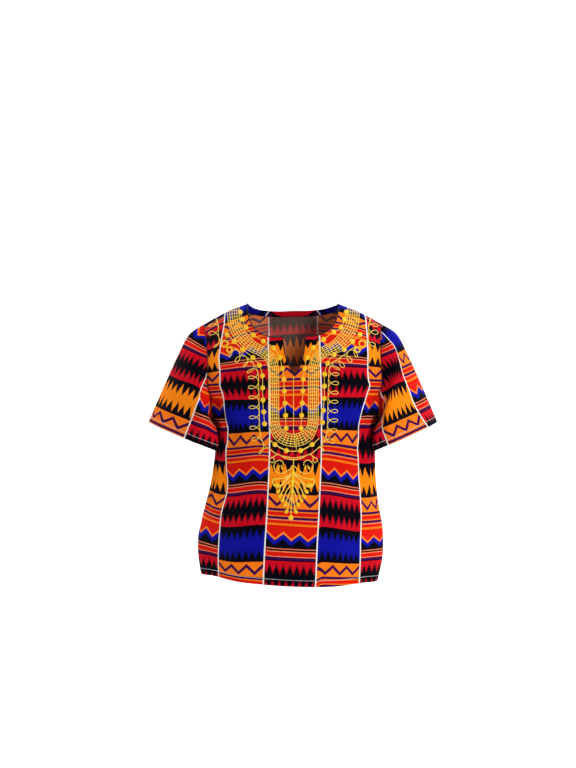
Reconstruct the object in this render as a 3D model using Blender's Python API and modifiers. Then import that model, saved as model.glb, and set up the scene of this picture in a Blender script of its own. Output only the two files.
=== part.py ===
"""A child's dashiki shirt, worn: four sewn cloth pieces around a hollow body.

Metres, +Z up, the front faces -Y and +X is on the viewer's right. The origin
lies on the shoulder line, midway between the two neck points, where the
wearer's shoulders hold the shirt up.

The body is a stack of level rings. A ring is placed by "rise", the cloth
length up from the hem, and a point on it by "angle", from 0 at the centre
front (or centre back) to 90 degrees at the side seam.
"""

import math
from collections import namedtuple

import bmesh
import bpy
from mathutils import Vector

# Cloth and seams
WALL = 0.0012
HALF_GAP = 0.00017

# Neck and shoulders
NECK_HALF_WIDTH = 0.0735
SHOULDER_TIP = 0.147
CREST_RISE = 0.0117
NECK_FRONT_LEVEL = -0.0626
NECK_BACK_LEVEL = -0.0215
NECK_FRONT_CURVE = 2.6
NECK_BACK_CURVE = 2.3

# Slit at the centre of the front neckline
SLIT_LEVEL = -0.119
SLIT_SHOULDER = 0.0145
SLIT_FLARE = 0.0030

# Armhole
UNDERARM_LEVEL = -0.187
ARMHOLE_SWEEP = 31.0
ARMHOLE_CURVE = 0.9

# Grid of the body panels
COLUMNS = 18
SIDE_ROWS = 12
ARM_ROWS = 12
SHOULDER_ROWS = 6
TIP_ROW = SIDE_ROWS + ARM_ROWS
ROWS = TIP_ROW + SHOULDER_ROWS
SLIT_ROW = SIDE_ROWS + 9
ROW_DIP = 0.016
ROW_CURVE = 1.9
ROW_BLEND = 3

# Grid of a sleeve
SLEEVE_RINGS = 15
SLEEVE_FIT = 0.42
SLEEVE_ROUNDNESS = 0.9

# Nominal cloth width from the centre line to the side seam
HALF_GIRTH = 0.178

# Steps of rise and of angle over which slopes of the form are taken
LEAN_STEP = 0.004
SLOPE_STEP = 0.002
SLOPE_TURN = 0.8

# A level ring of the body. "slope" is its share of the shoulder slope, "sway" its
# shift to one side, and "sag" how far its front hangs below its sides.
Ring = namedtuple("Ring", "level half_width front back squareness slope sway sag")
RINGS = [
    #    level   half_w  front   back    square slope  sway    sag
    Ring(-0.440, 0.1430, 0.0970, 0.0860, 2.25, 0.00, -0.0060, 0.0070),
    Ring(-0.405, 0.1490, 0.0980, 0.0860, 2.25, 0.00, -0.0045, 0.0050),
    Ring(-0.375, 0.1480, 0.0975, 0.0850, 2.25, 0.00, -0.0030, 0.0035),
    Ring(-0.335, 0.1420, 0.0955, 0.0830, 2.30, 0.00, -0.0005, 0.0020),
    Ring(-0.295, 0.1345, 0.0930, 0.0815, 2.35, 0.00, 0.0015, 0.0010),
    Ring(-0.240, 0.1300, 0.0905, 0.0815, 2.45, 0.00, 0.0037, 0.0000),
    Ring(-0.205, 0.1310, 0.0890, 0.0825, 2.50, 0.00, 0.0040, 0.0000),
    Ring(-0.187, 0.1360, 0.0880, 0.0830, 2.55, 0.00, 0.0040, 0.0000),
    Ring(-0.150, 0.1480, 0.0850, 0.0830, 2.60, 0.05, 0.0036, 0.0000),
    Ring(-0.110, 0.1560, 0.0780, 0.0800, 2.60, 0.18, 0.0026, 0.0000),
    Ring(-0.075, 0.1560, 0.0680, 0.0730, 2.55, 0.42, 0.0016, 0.0000),
    Ring(-0.045, 0.1535, 0.0540, 0.0610, 2.50, 0.68, 0.0008, 0.0000),
    Ring(-0.022, 0.1505, 0.0380, 0.0450, 2.40, 0.88, 0.0003, 0.0000),
    Ring(-0.007, 0.1480, 0.0210, 0.0260, 2.30, 0.97, 0.0000, 0.0000),
    Ring(0.0000, 0.1470, 0.0000, 0.0000, 2.20, 1.00, 0.0000, 0.0000),
]

# Soft folds in the body. A fold runs from its top to its bottom; "across" is
# cloth width from the centre line, negative on the viewer's left. A positive
# depth is a ridge, a negative one a trough.
Fold = namedtuple("Fold", "across_top level_top across_bottom level_bottom width depth")
FRONT_FOLDS = [
    #    across_t level_t across_b level_b width  depth
    Fold(-0.140, -0.165, -0.150, -0.370, 0.014, -0.0080),
    Fold(-0.119, -0.185, -0.128, -0.350, 0.012, 0.0048),
    Fold(-0.132, -0.145, -0.066, -0.240, 0.014, -0.0034),
    Fold(-0.150, -0.330, -0.134, -0.470, 0.018, 0.0050),
    Fold(-0.086, -0.310, -0.102, -0.470, 0.020, -0.0034),
    Fold(0.136, -0.160, 0.146, -0.345, 0.014, -0.0085),
    Fold(0.114, -0.180, 0.124, -0.330, 0.012, 0.0050),
    Fold(0.130, -0.140, 0.074, -0.225, 0.013, -0.0032),
    Fold(0.150, -0.310, 0.138, -0.470, 0.017, 0.0048),
    Fold(0.074, -0.340, 0.092, -0.470, 0.021, -0.0036),
    Fold(0.006, -0.360, 0.016, -0.470, 0.026, 0.0022),
]
BACK_FOLDS = [
    #    across_t level_t across_b level_b width  depth
    Fold(-0.140, -0.160, -0.148, -0.350, 0.014, -0.0075),
    Fold(-0.118, -0.180, -0.122, -0.400, 0.014, 0.0045),
    Fold(-0.070, -0.150, -0.082, -0.470, 0.020, -0.0055),
    Fold(-0.022, -0.210, -0.032, -0.470, 0.022, 0.0040),
    Fold(0.034, -0.180, 0.042, -0.470, 0.020, -0.0050),
    Fold(0.086, -0.150, 0.082, -0.470, 0.019, 0.0042),
    Fold(0.126, -0.175, 0.118, -0.420, 0.014, -0.0060),
    Fold(0.148, -0.200, 0.154, -0.360, 0.012, 0.0038),
]

# A fold whose bottom lies below this runs out through the hem. The others fade
# over this share of their length at each end, and all fade near the side seams.
HEM_END = -0.460
FOLD_FADE = 0.35
SEAM_FADE = 12.0

# Sleeve folds start this share of the way along, and this is their length scale.
ARMHOLE_FADE = 0.08
SLEEVE_LENGTH_WIDTHS = 10.0

# Sleeve sections from the armhole to the cuff, for the side at +X. "outer" is the
# edge that continues the shoulder. "inner" is the edge under the arm, given by
# its clearance outside the body.
Section = namedtuple("Section", "along outer_x outer_y outer_z clearance inner_y inner_z half_depth")
SECTIONS = [
    #       along  outer_x outer_y outer_z  clear   inner_y inner_z  depth
    Section(0.00, 0.1470, 0.0000, -0.0350, 0.0000, 0.0000, -0.1870, 0.0500),
    Section(0.10, 0.1690, 0.0010, -0.0500, 0.0058, -0.0080, -0.1880, 0.0500),
    Section(0.25, 0.1860, 0.0020, -0.0810, 0.0062, -0.0300, -0.1960, 0.0490),
    Section(0.50, 0.2040, 0.0050, -0.1200, 0.0036, -0.0420, -0.2090, 0.0460),
    Section(0.75, 0.2200, 0.0080, -0.1560, 0.0024, -0.0450, -0.2230, 0.0430),
    Section(1.00, 0.2360, 0.0100, -0.1930, 0.0024, -0.0460, -0.2390, 0.0410),
]

# Soft folds in a sleeve: from a top to a bottom place, by turn around the
# sleeve (0 at the shoulder, 90 at the middle of the front) and along it.
SleeveFold = namedtuple("SleeveFold", "turn_top along_top turn_bottom along_bottom width depth")
SLEEVE_FOLDS = [
    #          turn_t along_t turn_b along_b width depth
    SleeveFold(150.0, 0.05, 134.0, 1.10, 15.0, -0.0048),
    SleeveFold(112.0, 0.20, 106.0, 1.10, 13.0, 0.0030),
    SleeveFold(192.0, 0.20, 184.0, 1.10, 13.0, -0.0020),
    SleeveFold(96.0, 0.00, 72.0, 0.50, 16.0, -0.0024),
    SleeveFold(42.0, 0.30, 50.0, 1.10, 20.0, 0.0018),
    SleeveFold(205.0, 0.05, 232.0, 0.80, 15.0, -0.0046),
    SleeveFold(262.0, 0.00, 288.0, 0.60, 17.0, -0.0030),
    SleeveFold(318.0, 0.35, 306.0, 1.10, 20.0, 0.0022),
]

Finish = namedtuple("Finish", "red green blue roughness")
FINISHES = {
    "front": Finish(0.62, 0.04, 0.03, 0.85),
    "back": Finish(0.50, 0.03, 0.05, 0.85),
    "sleeve_left": Finish(0.75, 0.24, 0.03, 0.85),
    "sleeve_right": Finish(0.75, 0.24, 0.03, 0.85),
}


def clear_scene():
    """Remove everything the scene starts with."""
    for thing in list(bpy.data.objects):
        bpy.data.objects.remove(thing, do_unlink=True)


def mix(low, high, share):
    return low + (high - low) * share


def smooth(share):
    """0 to 1 with level ends."""
    share = min(max(share, 0.0), 1.0)
    return share * share * (3.0 - 2.0 * share)


def rounded(value, power):
    return math.copysign(abs(value) ** power, value)


def spline(places, rows, place):
    """The row of a table at a place, by a smooth curve through its rows."""
    count = len(rows)
    place = min(max(place, places[0]), places[-1])
    after = next(i for i in range(1, count) if place <= places[i] or i == count - 1)
    before = after - 1
    span = places[after] - places[before]
    share = (place - places[before]) / span
    values = []
    for low, high, earlier, later in zip(
        rows[before], rows[after], rows[max(before - 1, 0)], rows[min(after + 1, count - 1)]
    ):
        low_slope = (high - earlier) / (places[after] - places[max(before - 1, 0)]) * span
        high_slope = (later - low) / (places[min(after + 1, count - 1)] - places[before]) * span
        square, cube = share * share, share**3
        values.append(
            (2 * cube - 3 * square + 1) * low
            + (cube - 2 * square + share) * low_slope
            + (3 * square - 2 * cube) * high
            + (cube - square) * high_slope
        )
    return type(rows[0])(*values)


def rises():
    """The cloth length up the centre front from the hem to each ring."""
    found = [0.0]
    for lower, upper in zip(RINGS, RINGS[1:]):
        step = math.hypot(upper.level - lower.level, upper.front - lower.front)
        found.append(found[-1] + step)
    return found


RISES = rises()
TOP = RISES[-1]


def ring_at(rise):
    return spline(RISES, RINGS, rise)


def rise_of(level):
    """The rise at which the rings reach a level."""
    low, high = 0.0, TOP
    for _ in range(40):
        middle = (low + high) / 2
        if ring_at(middle).level < level:
            low = middle
        else:
            high = middle
    return low


def crest(across):
    """Height of the shoulder line at a distance from the centre."""
    return CREST_RISE * (1.0 - (across / NECK_HALF_WIDTH) ** 2)


def body_point(rise, angle, facing):
    """A point of the body's outer form. facing is -1 in front and 1 behind."""
    ring = ring_at(rise)
    upper, lower = ring_at(rise + LEAN_STEP), ring_at(rise - LEAN_STEP)
    lean = (upper.sway - lower.sway) / max(upper.level - lower.level, LEAN_STEP)
    turn = math.radians(angle)
    across = ring.half_width * rounded(math.sin(turn), 2.0 / ring.squareness)
    reach = ring.front if facing < 0 else ring.back
    depth = facing * reach * rounded(max(math.cos(turn), 0.0), 2.0 / ring.squareness)
    drop = ring.slope * crest(across) - lean * across
    if facing < 0:
        drop -= ring.sag * math.cos(turn) ** 2
    return Vector((ring.sway + across, depth, ring.level + drop))


def outward(rise, angle, facing):
    """Unit normal of the body's form."""
    rise = min(max(rise, SLOPE_STEP), TOP - SLOPE_STEP)
    over, under = (body_point(rise + step, angle, facing) for step in (SLOPE_STEP, -SLOPE_STEP))
    angle = min(max(angle, SLOPE_TURN - 90), 90 - SLOPE_TURN)
    after, before = (body_point(rise, angle + turn, facing) for turn in (SLOPE_TURN, -SLOPE_TURN))
    normal = (over - under).cross(after - before) * facing
    return normal.normalized() if normal.length > 0 else Vector((0, 0, 1))


def reach_along(x, y, ax, ay, bx, by):
    """Distance to the line from a to b, and the share of the way along it."""
    dx, dy = bx - ax, by - ay
    share = ((x - ax) * dx + (y - ay) * dy) / (dx * dx + dy * dy)
    held = min(max(share, 0.0), 1.0)
    return math.hypot(x - ax - held * dx, y - ay - held * dy), share


def crease(distance, width, share, runs_out):
    """Height of a soft fold: round across, fading towards its ends."""
    fade = smooth(share / FOLD_FADE)
    if not runs_out:
        fade *= smooth((1.0 - share) / FOLD_FADE)
    return math.exp(-((distance / width) ** 2)) * fade


def body_fold(across, level, folds):
    height = 0.0
    for fold in folds:
        distance, share = reach_along(
            across,
            level,
            fold.across_top,
            fold.level_top,
            fold.across_bottom,
            fold.level_bottom,
        )
        runs_out = fold.level_bottom < HEM_END
        height += fold.depth * crease(distance, fold.width, share, runs_out)
    return height


def folded_point(rise, angle, facing):
    """A point of the cloth's outer face, folds and all."""
    point = body_point(rise, angle, facing)
    folds = FRONT_FOLDS if facing < 0 else BACK_FOLDS
    height = body_fold(angle / 90.0 * HALF_GIRTH, point.z, folds)
    height *= smooth((90.0 - abs(angle)) / SEAM_FADE)
    return point + outward(rise, angle, facing) * height


UNDERARM = rise_of(UNDERARM_LEVEL)
SLIT_FOOT = rise_of(SLIT_LEVEL)


def angle_of(across, rise):
    """The angle at which a ring reaches a distance from the centre."""
    ring = ring_at(rise)
    share = min(max(across / ring.half_width, -1.0), 1.0)
    return math.degrees(math.asin(rounded(share, ring.squareness / 2.0)))


def armhole(turn):
    """Rise and angle on the armhole: turn 0 at the shoulder, 180 under the arm."""
    around = math.radians(turn)
    level = UNDERARM_LEVEL * (1.0 - math.cos(around)) / 2.0
    sweep = ARMHOLE_SWEEP * max(math.sin(around), 0.0) ** ARMHOLE_CURVE
    return rise_of(level), 90.0 - sweep


def row_end(row):
    """Rise and angle where a row of the panel meets the next piece."""
    if row <= SIDE_ROWS:
        return UNDERARM * row / SIDE_ROWS, 90.0
    if row <= TIP_ROW:
        return armhole(180.0 * (TIP_ROW - row) / ARM_ROWS)
    share = (row - TIP_ROW) / SHOULDER_ROWS
    return TOP, angle_of(mix(SHOULDER_TIP, NECK_HALF_WIDTH, share), TOP)


def row_middle(row, facing):
    """Rise of a row at the centre of the panel."""
    chest = UNDERARM - ROW_DIP
    if row <= SIDE_ROWS:
        return chest * row / SIDE_ROWS
    if facing > 0:
        share = (row - SIDE_ROWS) / (ROWS - SIDE_ROWS)
        return mix(chest, rise_of(NECK_BACK_LEVEL), share)
    if row <= SLIT_ROW:
        return mix(chest, SLIT_FOOT, (row - SIDE_ROWS) / (SLIT_ROW - SIDE_ROWS))
    share = (row - SLIT_ROW) / (ROWS - SLIT_ROW)
    return mix(SLIT_FOOT, rise_of(NECK_FRONT_LEVEL), share)


def slit_half_width(row):
    """Half the width of the slit: a tulip shape that ends in a point."""
    share = max(row - SLIT_ROW, 0) / (ROWS - SLIT_ROW)
    return SLIT_SHOULDER * (1.0 - (1.0 - share) ** 3) + SLIT_FLARE * share


def panel_place(row, share, facing):
    """Rise and angle of a grid point, for share 0 at the centre to 1 at the end.

    Rows are level below the armhole and bend into the neckline above it. Columns
    are even round the body below the armhole, and even across it above."""
    end_rise, end_angle = row_end(row)
    middle = row_middle(row, facing)
    curve = NECK_FRONT_CURVE if facing < 0 else NECK_BACK_CURVE
    turn = math.radians(90.0 * share)
    bend = smooth((row - TIP_ROW) / SHOULDER_ROWS)
    across = mix(share, math.sin(turn) ** (2.0 / curve), bend)
    lift = mix(ROW_CURVE, curve, smooth((row - SIDE_ROWS) / (ROWS - SIDE_ROWS)))
    climb = 1.0 - max(math.cos(turn), 0.0) ** (2.0 / lift)
    rise = mix(middle, end_rise, climb)
    start = slit_half_width(row) if facing < 0 and row > SLIT_ROW else 0.0
    ring, end_ring = ring_at(rise), ring_at(end_rise)
    end_reach = math.sin(math.radians(end_angle)) ** (2.0 / end_ring.squareness)
    reach = mix(start / ring.half_width, end_reach, across)
    level_angle = end_angle * across
    raised_angle = math.degrees(math.asin(min(reach, 1.0) ** (ring.squareness / 2.0)))
    return rise, mix(level_angle, raised_angle, smooth((row - SIDE_ROWS) / ROW_BLEND))


def half_grid(side, facing):
    """One half of a body panel up to the seam lines: rows of points from the centre out."""
    grid = []
    for row in range(ROWS + 1):
        places = [panel_place(row, column / COLUMNS, facing) for column in range(COLUMNS + 1)]
        grid.append([folded_point(rise, side * angle, facing) for rise, angle in places])
    return grid


def loop_place(row, facing):
    """The place of a panel's row end in the loop round the armhole."""
    step = TIP_ROW - row
    return step if facing < 0 else (2 * ARM_ROWS - step) % (2 * ARM_ROWS)


def armhole_loop(side):
    """The seam line round one armhole: turn 0 at the shoulder, over the front."""
    turns = [180.0 * step / ARM_ROWS for step in range(ARM_ROWS + 1)]
    front = [armhole(turn) for turn in turns]
    points = [folded_point(rise, side * angle, -1) for rise, angle in front]
    points += [folded_point(rise, side * angle, 1) for rise, angle in reversed(front[1:-1])]
    return points


def square_to(vector, along):
    """The part of a vector that is square to a unit vector, as a unit vector."""
    return (vector - along * vector.dot(along)).normalized()


def draw_back(tangent, inward, beyond, out):
    """The move that draws a seam point into its piece, until the wall behind it
    clears the wall of the piece beyond by the seam gap."""
    along = tangent.normalized()
    inward = square_to(inward, along)
    beyond = square_to(beyond, along)
    normal = along.cross(inward)
    if normal.dot(out) < 0:
        normal.negate()
    across = (inward - beyond).normalized()
    behind = WALL * max(normal.dot(across), 0.0)
    return inward * (HALF_GAP + behind) / inward.dot(across)


def seam_ends(row, points):
    """The seam points before and after a row end, for its side or shoulder seam."""
    low = points[row] if row == TIP_ROW else points[max(row - 1, 0)]
    high = points[row] if row == SIDE_ROWS else points[min(row + 1, ROWS)]
    return low, high


def armhole_ends(row, points):
    """The same for its armhole seam, and the point that leads into the panel."""
    low = points[row] if row == SIDE_ROWS else points[row - 1]
    high = points[row] if row == TIP_ROW else points[row + 1]
    corners = {SIDE_ROWS: points[row - 1], TIP_ROW: points[row + 1]}
    return low, high, corners.get(row)


def panel_moves(side, facing, grid, other, ring, into_panel):
    """How each row end of a panel draws back from the panels and sleeve next to it."""
    ends = [points[-1] for points in grid]
    moves = []
    for row, end in enumerate(ends):
        rise, angle = row_end(row)
        out = outward(rise, side * angle, facing)
        move = Vector()
        if row <= SIDE_ROWS or row >= TIP_ROW:
            low, high = seam_ends(row, ends)
            move += draw_back(high - low, grid[row][-2] - end, other[row][-2] - end, out)
        if SIDE_ROWS <= row <= TIP_ROW:
            place = loop_place(row, facing)
            low, high, corner = armhole_ends(row, ends)
            inward = (corner or grid[row][-2]) - end
            move += draw_back(high - low, inward, ring[place] - end, out)
            into_panel[place] = inward
        moves.append(move)
    return moves


def sleeve_seam(loop, ring, into_panel):
    """The first ring of the sleeve, drawn back from the panels."""
    centre = sum(loop, Vector()) / len(loop)
    seam = []
    for place, point in enumerate(loop):
        tangent = loop[(place + 1) % len(loop)] - loop[place - 1]
        move = draw_back(tangent, ring[place] - point, into_panel[place], point - centre)
        seam.append(point + move)
    return seam


def side_pieces(side):
    """The front, back and sleeve of one side, drawn back along their seams."""
    front, back = half_grid(side, -1), half_grid(side, 1)
    loop = armhole_loop(side)
    steps = range(SLEEVE_RINGS + 1)
    rings = [sleeve_ring(step / SLEEVE_RINGS, loop, side) for step in steps]
    into_panel = {}
    front_moves = panel_moves(side, -1, front, back, rings[1], into_panel)
    back_moves = panel_moves(side, 1, back, front, rings[1], into_panel)
    rings[0] = sleeve_seam(rings[0], rings[1], into_panel)
    for row in range(ROWS + 1):
        front[row][-1] = front[row][-1] + front_moves[row]
        back[row][-1] = back[row][-1] + back_moves[row]
    return front, back, rings


def cloth_object(name, bm, home):
    """A named piece of cloth with its wall and its own material."""
    mesh = bpy.data.meshes.new(name)
    bm.to_mesh(mesh)
    bm.free()
    mesh.shade_smooth()
    piece = bpy.data.objects.new(name, mesh)
    home.objects.link(piece)
    wall = piece.modifiers.new("wall", "SOLIDIFY")
    wall.thickness = WALL
    wall.offset = -1.0
    finish = FINISHES[name]
    material = bpy.data.materials.new(name + "_cotton")
    material.use_nodes = True
    shader = material.node_tree.nodes["Principled BSDF"]
    shader.inputs["Base Color"].default_value = (finish.red, finish.green, finish.blue, 1.0)
    shader.inputs["Roughness"].default_value = finish.roughness
    shader.inputs["Metallic"].default_value = 0.0
    mesh.materials.append(material)
    return piece


def add_faces(bm, lower, upper, flip):
    """A strip of faces between two rows of vertices."""
    for i in range(len(lower) - 1):
        corners = [lower[i], lower[i + 1], upper[i + 1], upper[i]]
        corners = [v for k, v in enumerate(corners) if v not in corners[:k]]
        if len(corners) > 2:
            bm.faces.new(corners[::-1] if flip else corners)


def body_panel(name, facing, halves, home):
    """Front or back: two half grids that share the centre line below the slit."""
    bm = bmesh.new()
    centre = {}
    for side, grid in halves.items():
        rows = []
        for row, points in enumerate(grid):
            split = facing < 0 and row > SLIT_ROW
            if split or row not in centre:
                centre[row] = bm.verts.new(points[0])
            rows.append([centre[row]] + [bm.verts.new(point) for point in points[1:]])
        for lower, upper in zip(rows, rows[1:]):
            add_faces(bm, lower, upper, flip=(side * facing > 0))
    return cloth_object(name, bm, home)


def body_side(depth, level, side):
    """Distance from the middle plane to the body's side, at a depth and a level."""
    ring = ring_at(rise_of(level))
    reach = ring.front if depth < 0 else ring.back
    share = 1.0 - (abs(depth) / reach) ** ring.squareness
    return ring.half_width * share ** (1.0 / ring.squareness) + side * ring.sway


def section_point(along, turn, side):
    """A point of the sleeve's form: a leaning oval between its outer and inner edge."""
    section = spline([row.along for row in SECTIONS], SECTIONS, along)
    inner_x = body_side(section.inner_y, section.inner_z, side) + section.clearance
    outer = Vector((side * section.outer_x, section.outer_y, section.outer_z))
    inner = Vector((side * inner_x, section.inner_y, section.inner_z))
    around = math.radians(turn)
    point = (outer + inner) / 2 + (outer - inner) / 2 * math.cos(around)
    point.y -= section.half_depth * rounded(math.sin(around), SLEEVE_ROUNDNESS)
    return point


def sleeve_fold(turn, along):
    height = 0.0
    for fold in SLEEVE_FOLDS:
        per_turn = fold.width * SLEEVE_LENGTH_WIDTHS
        distance, share = reach_along(
            turn,
            along * per_turn,
            fold.turn_top,
            fold.along_top * per_turn,
            fold.turn_bottom,
            fold.along_bottom * per_turn,
        )
        height += fold.depth * crease(distance, fold.width, share, fold.along_bottom > 1.0)
    return height * smooth(along / ARMHOLE_FADE)


def sleeve_ring(along, loop, side):
    """Points round the sleeve; near the body they follow the armhole."""
    follow = (1.0 - min(along / SLEEVE_FIT, 1.0)) ** 2
    points = []
    for place, seam in enumerate(loop):
        turn = 360.0 * place / len(loop)
        fitted = seam - section_point(0.0, turn, side)
        point = section_point(along, turn, side) + fitted * follow
        axis = section_point(along, 0.0, side) + section_point(along, 180.0, side)
        away = (point - axis / 2).normalized()
        points.append(point + away * sleeve_fold(turn, along))
    return points


def sleeve(name, side, rings, home):
    bm = bmesh.new()
    rows = [[bm.verts.new(point) for point in ring] for ring in rings]
    for lower, upper in zip(rows, rows[1:]):
        add_faces(bm, lower + lower[:1], upper + upper[:1], flip=side < 0)
    return cloth_object(name, bm, home)


def main():
    clear_scene()
    home = bpy.data.collections.new("dashiki_shirt")
    bpy.context.scene.collection.children.link(home)
    pieces = {side: side_pieces(side) for side in (1, -1)}
    body_panel("front", -1, {side: pieces[side][0] for side in pieces}, home)
    body_panel("back", 1, {side: pieces[side][1] for side in pieces}, home)
    sleeve("sleeve_left", -1, pieces[-1][2], home)
    sleeve("sleeve_right", 1, pieces[1][2], home)


main()
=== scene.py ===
"""Looks of the dashiki shirt: worn cotton cloth, its strip print, its embroidery and stitching.

Metres, +Z up, the front faces -Y. The origin lies on the shoulder line between
the two neck points. The cloth's form repeats the named sizes of the solids:
a point of the body is placed by "rise", the cloth length up from the hem, and
by "angle", from 0 at the centre to 90 degrees at the side seam. A "facing" is
-1 for the front and 1 for the back, and a "side" is -1 on the viewer's left.
"""

import math
from collections import namedtuple

import bmesh
import bpy
import numpy as np
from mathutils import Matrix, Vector


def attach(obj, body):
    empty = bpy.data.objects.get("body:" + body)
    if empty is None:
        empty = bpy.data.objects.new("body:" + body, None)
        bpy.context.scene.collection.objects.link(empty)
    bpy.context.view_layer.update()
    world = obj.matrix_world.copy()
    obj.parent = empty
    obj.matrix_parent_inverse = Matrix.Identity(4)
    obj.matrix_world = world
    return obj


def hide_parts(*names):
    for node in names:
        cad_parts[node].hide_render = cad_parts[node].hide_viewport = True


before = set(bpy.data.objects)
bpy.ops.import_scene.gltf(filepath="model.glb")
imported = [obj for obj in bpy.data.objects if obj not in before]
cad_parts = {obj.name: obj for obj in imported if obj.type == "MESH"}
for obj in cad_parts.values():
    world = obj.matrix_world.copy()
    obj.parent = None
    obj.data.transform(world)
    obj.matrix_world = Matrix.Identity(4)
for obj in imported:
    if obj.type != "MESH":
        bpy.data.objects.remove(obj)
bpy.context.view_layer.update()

# ---- sizes

# Neck and shoulders
NECK_HALF_WIDTH = 0.0735
SHOULDER_TIP = 0.147
CREST_RISE = 0.0117
NECK_FRONT_LEVEL = -0.0626
NECK_BACK_LEVEL = -0.0215
NECK_FRONT_CURVE = 2.6
NECK_BACK_CURVE = 2.3

# Slit at the centre of the front neckline
SLIT_LEVEL = -0.119
SLIT_SHOULDER = 0.0145
SLIT_FLARE = 0.0030

# Armhole
UNDERARM_LEVEL = -0.187
ARMHOLE_SWEEP = 31.0
ARMHOLE_CURVE = 0.9

# Rows of a body panel, counted from the hem to the shoulder seam
SIDE_ROWS = 12
ARM_ROWS = 12
SHOULDER_ROWS = 6
TIP_ROW = SIDE_ROWS + ARM_ROWS
ROWS = TIP_ROW + SHOULDER_ROWS
SLIT_ROW = SIDE_ROWS + 9
ROW_DIP = 0.016
ROW_CURVE = 1.9
ROW_BLEND = 3

SLEEVE_FIT = 0.42
SLEEVE_ROUNDNESS = 0.9
HALF_GIRTH = 0.178

# Points of the form's curves, and the steps over which its slopes are taken
CURVE_POINTS = 4001
LEAN_STEP = 0.004
SLOPE_STEP = 0.002
SLOPE_TURN = 0.8

Ring = namedtuple("Ring", "level half_width front back squareness slope sway sag")
RINGS = [
    (-0.440, 0.1430, 0.0970, 0.0860, 2.25, 0.00, -0.0060, 0.0070),
    (-0.405, 0.1490, 0.0980, 0.0860, 2.25, 0.00, -0.0045, 0.0050),
    (-0.375, 0.1480, 0.0975, 0.0850, 2.25, 0.00, -0.0030, 0.0035),
    (-0.335, 0.1420, 0.0955, 0.0830, 2.30, 0.00, -0.0005, 0.0020),
    (-0.295, 0.1345, 0.0930, 0.0815, 2.35, 0.00, 0.0015, 0.0010),
    (-0.240, 0.1300, 0.0905, 0.0815, 2.45, 0.00, 0.0037, 0.0000),
    (-0.205, 0.1310, 0.0890, 0.0825, 2.50, 0.00, 0.0040, 0.0000),
    (-0.187, 0.1360, 0.0880, 0.0830, 2.55, 0.00, 0.0040, 0.0000),
    (-0.150, 0.1480, 0.0850, 0.0830, 2.60, 0.05, 0.0036, 0.0000),
    (-0.110, 0.1560, 0.0780, 0.0800, 2.60, 0.18, 0.0026, 0.0000),
    (-0.075, 0.1560, 0.0680, 0.0730, 2.55, 0.42, 0.0016, 0.0000),
    (-0.045, 0.1535, 0.0540, 0.0610, 2.50, 0.68, 0.0008, 0.0000),
    (-0.022, 0.1505, 0.0380, 0.0450, 2.40, 0.88, 0.0003, 0.0000),
    (-0.007, 0.1480, 0.0210, 0.0260, 2.30, 0.97, 0.0000, 0.0000),
    (0.0000, 0.1470, 0.0000, 0.0000, 2.20, 1.00, 0.0000, 0.0000),
]

# Folds of the body: the cloth width from the centre line and the level of the
# top and of the bottom end, then the width and the depth
FRONT_FOLDS = [
    (-0.140, -0.165, -0.150, -0.370, 0.014, -0.0080),
    (-0.119, -0.185, -0.128, -0.350, 0.012, 0.0048),
    (-0.132, -0.145, -0.066, -0.240, 0.014, -0.0034),
    (-0.150, -0.330, -0.134, -0.470, 0.018, 0.0050),
    (-0.086, -0.310, -0.102, -0.470, 0.020, -0.0034),
    (0.136, -0.160, 0.146, -0.345, 0.014, -0.0085),
    (0.114, -0.180, 0.124, -0.330, 0.012, 0.0050),
    (0.130, -0.140, 0.074, -0.225, 0.013, -0.0032),
    (0.150, -0.310, 0.138, -0.470, 0.017, 0.0048),
    (0.074, -0.340, 0.092, -0.470, 0.021, -0.0036),
    (0.006, -0.360, 0.016, -0.470, 0.026, 0.0022),
]
BACK_FOLDS = [
    (-0.140, -0.160, -0.148, -0.350, 0.014, -0.0075),
    (-0.118, -0.180, -0.122, -0.400, 0.014, 0.0045),
    (-0.070, -0.150, -0.082, -0.470, 0.020, -0.0055),
    (-0.022, -0.210, -0.032, -0.470, 0.022, 0.0040),
    (0.034, -0.180, 0.042, -0.470, 0.020, -0.0050),
    (0.086, -0.150, 0.082, -0.470, 0.019, 0.0042),
    (0.126, -0.175, 0.118, -0.420, 0.014, -0.0060),
    (0.148, -0.200, 0.154, -0.360, 0.012, 0.0038),
]
HEM_END = -0.460
FOLD_FADE = 0.35
SEAM_FADE = 12.0
ARMHOLE_FADE = 0.08

# Finer creases that only the cloth of this scene has
FRONT_CREASES = [
    (-0.146, -0.120, -0.100, -0.212, 0.0065, -0.0028),
    (-0.142, -0.100, -0.098, -0.170, 0.0060, 0.0017),
    (0.144, -0.116, 0.100, -0.206, 0.0065, -0.0029),
    (0.140, -0.100, 0.096, -0.165, 0.0060, 0.0017),
    (-0.126, -0.205, -0.060, -0.262, 0.0075, -0.0019),
    (-0.132, -0.252, -0.084, -0.300, 0.0085, -0.0018),
    (-0.150, -0.300, -0.112, -0.362, 0.0080, -0.0017),
    (0.128, -0.202, 0.072, -0.250, 0.0075, -0.0020),
    (0.132, -0.242, 0.088, -0.292, 0.0085, -0.0018),
    (0.150, -0.292, 0.114, -0.346, 0.0080, -0.0016),
    (0.104, -0.300, 0.112, -0.470, 0.0090, -0.0015),
    (-0.112, -0.320, -0.120, -0.470, 0.0090, -0.0015),
    (-0.048, -0.330, -0.058, -0.470, 0.0150, 0.0014),
    (0.044, -0.300, 0.050, -0.470, 0.0160, 0.0013),
    (-0.010, -0.260, -0.020, -0.400, 0.0180, -0.0010),
]
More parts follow.
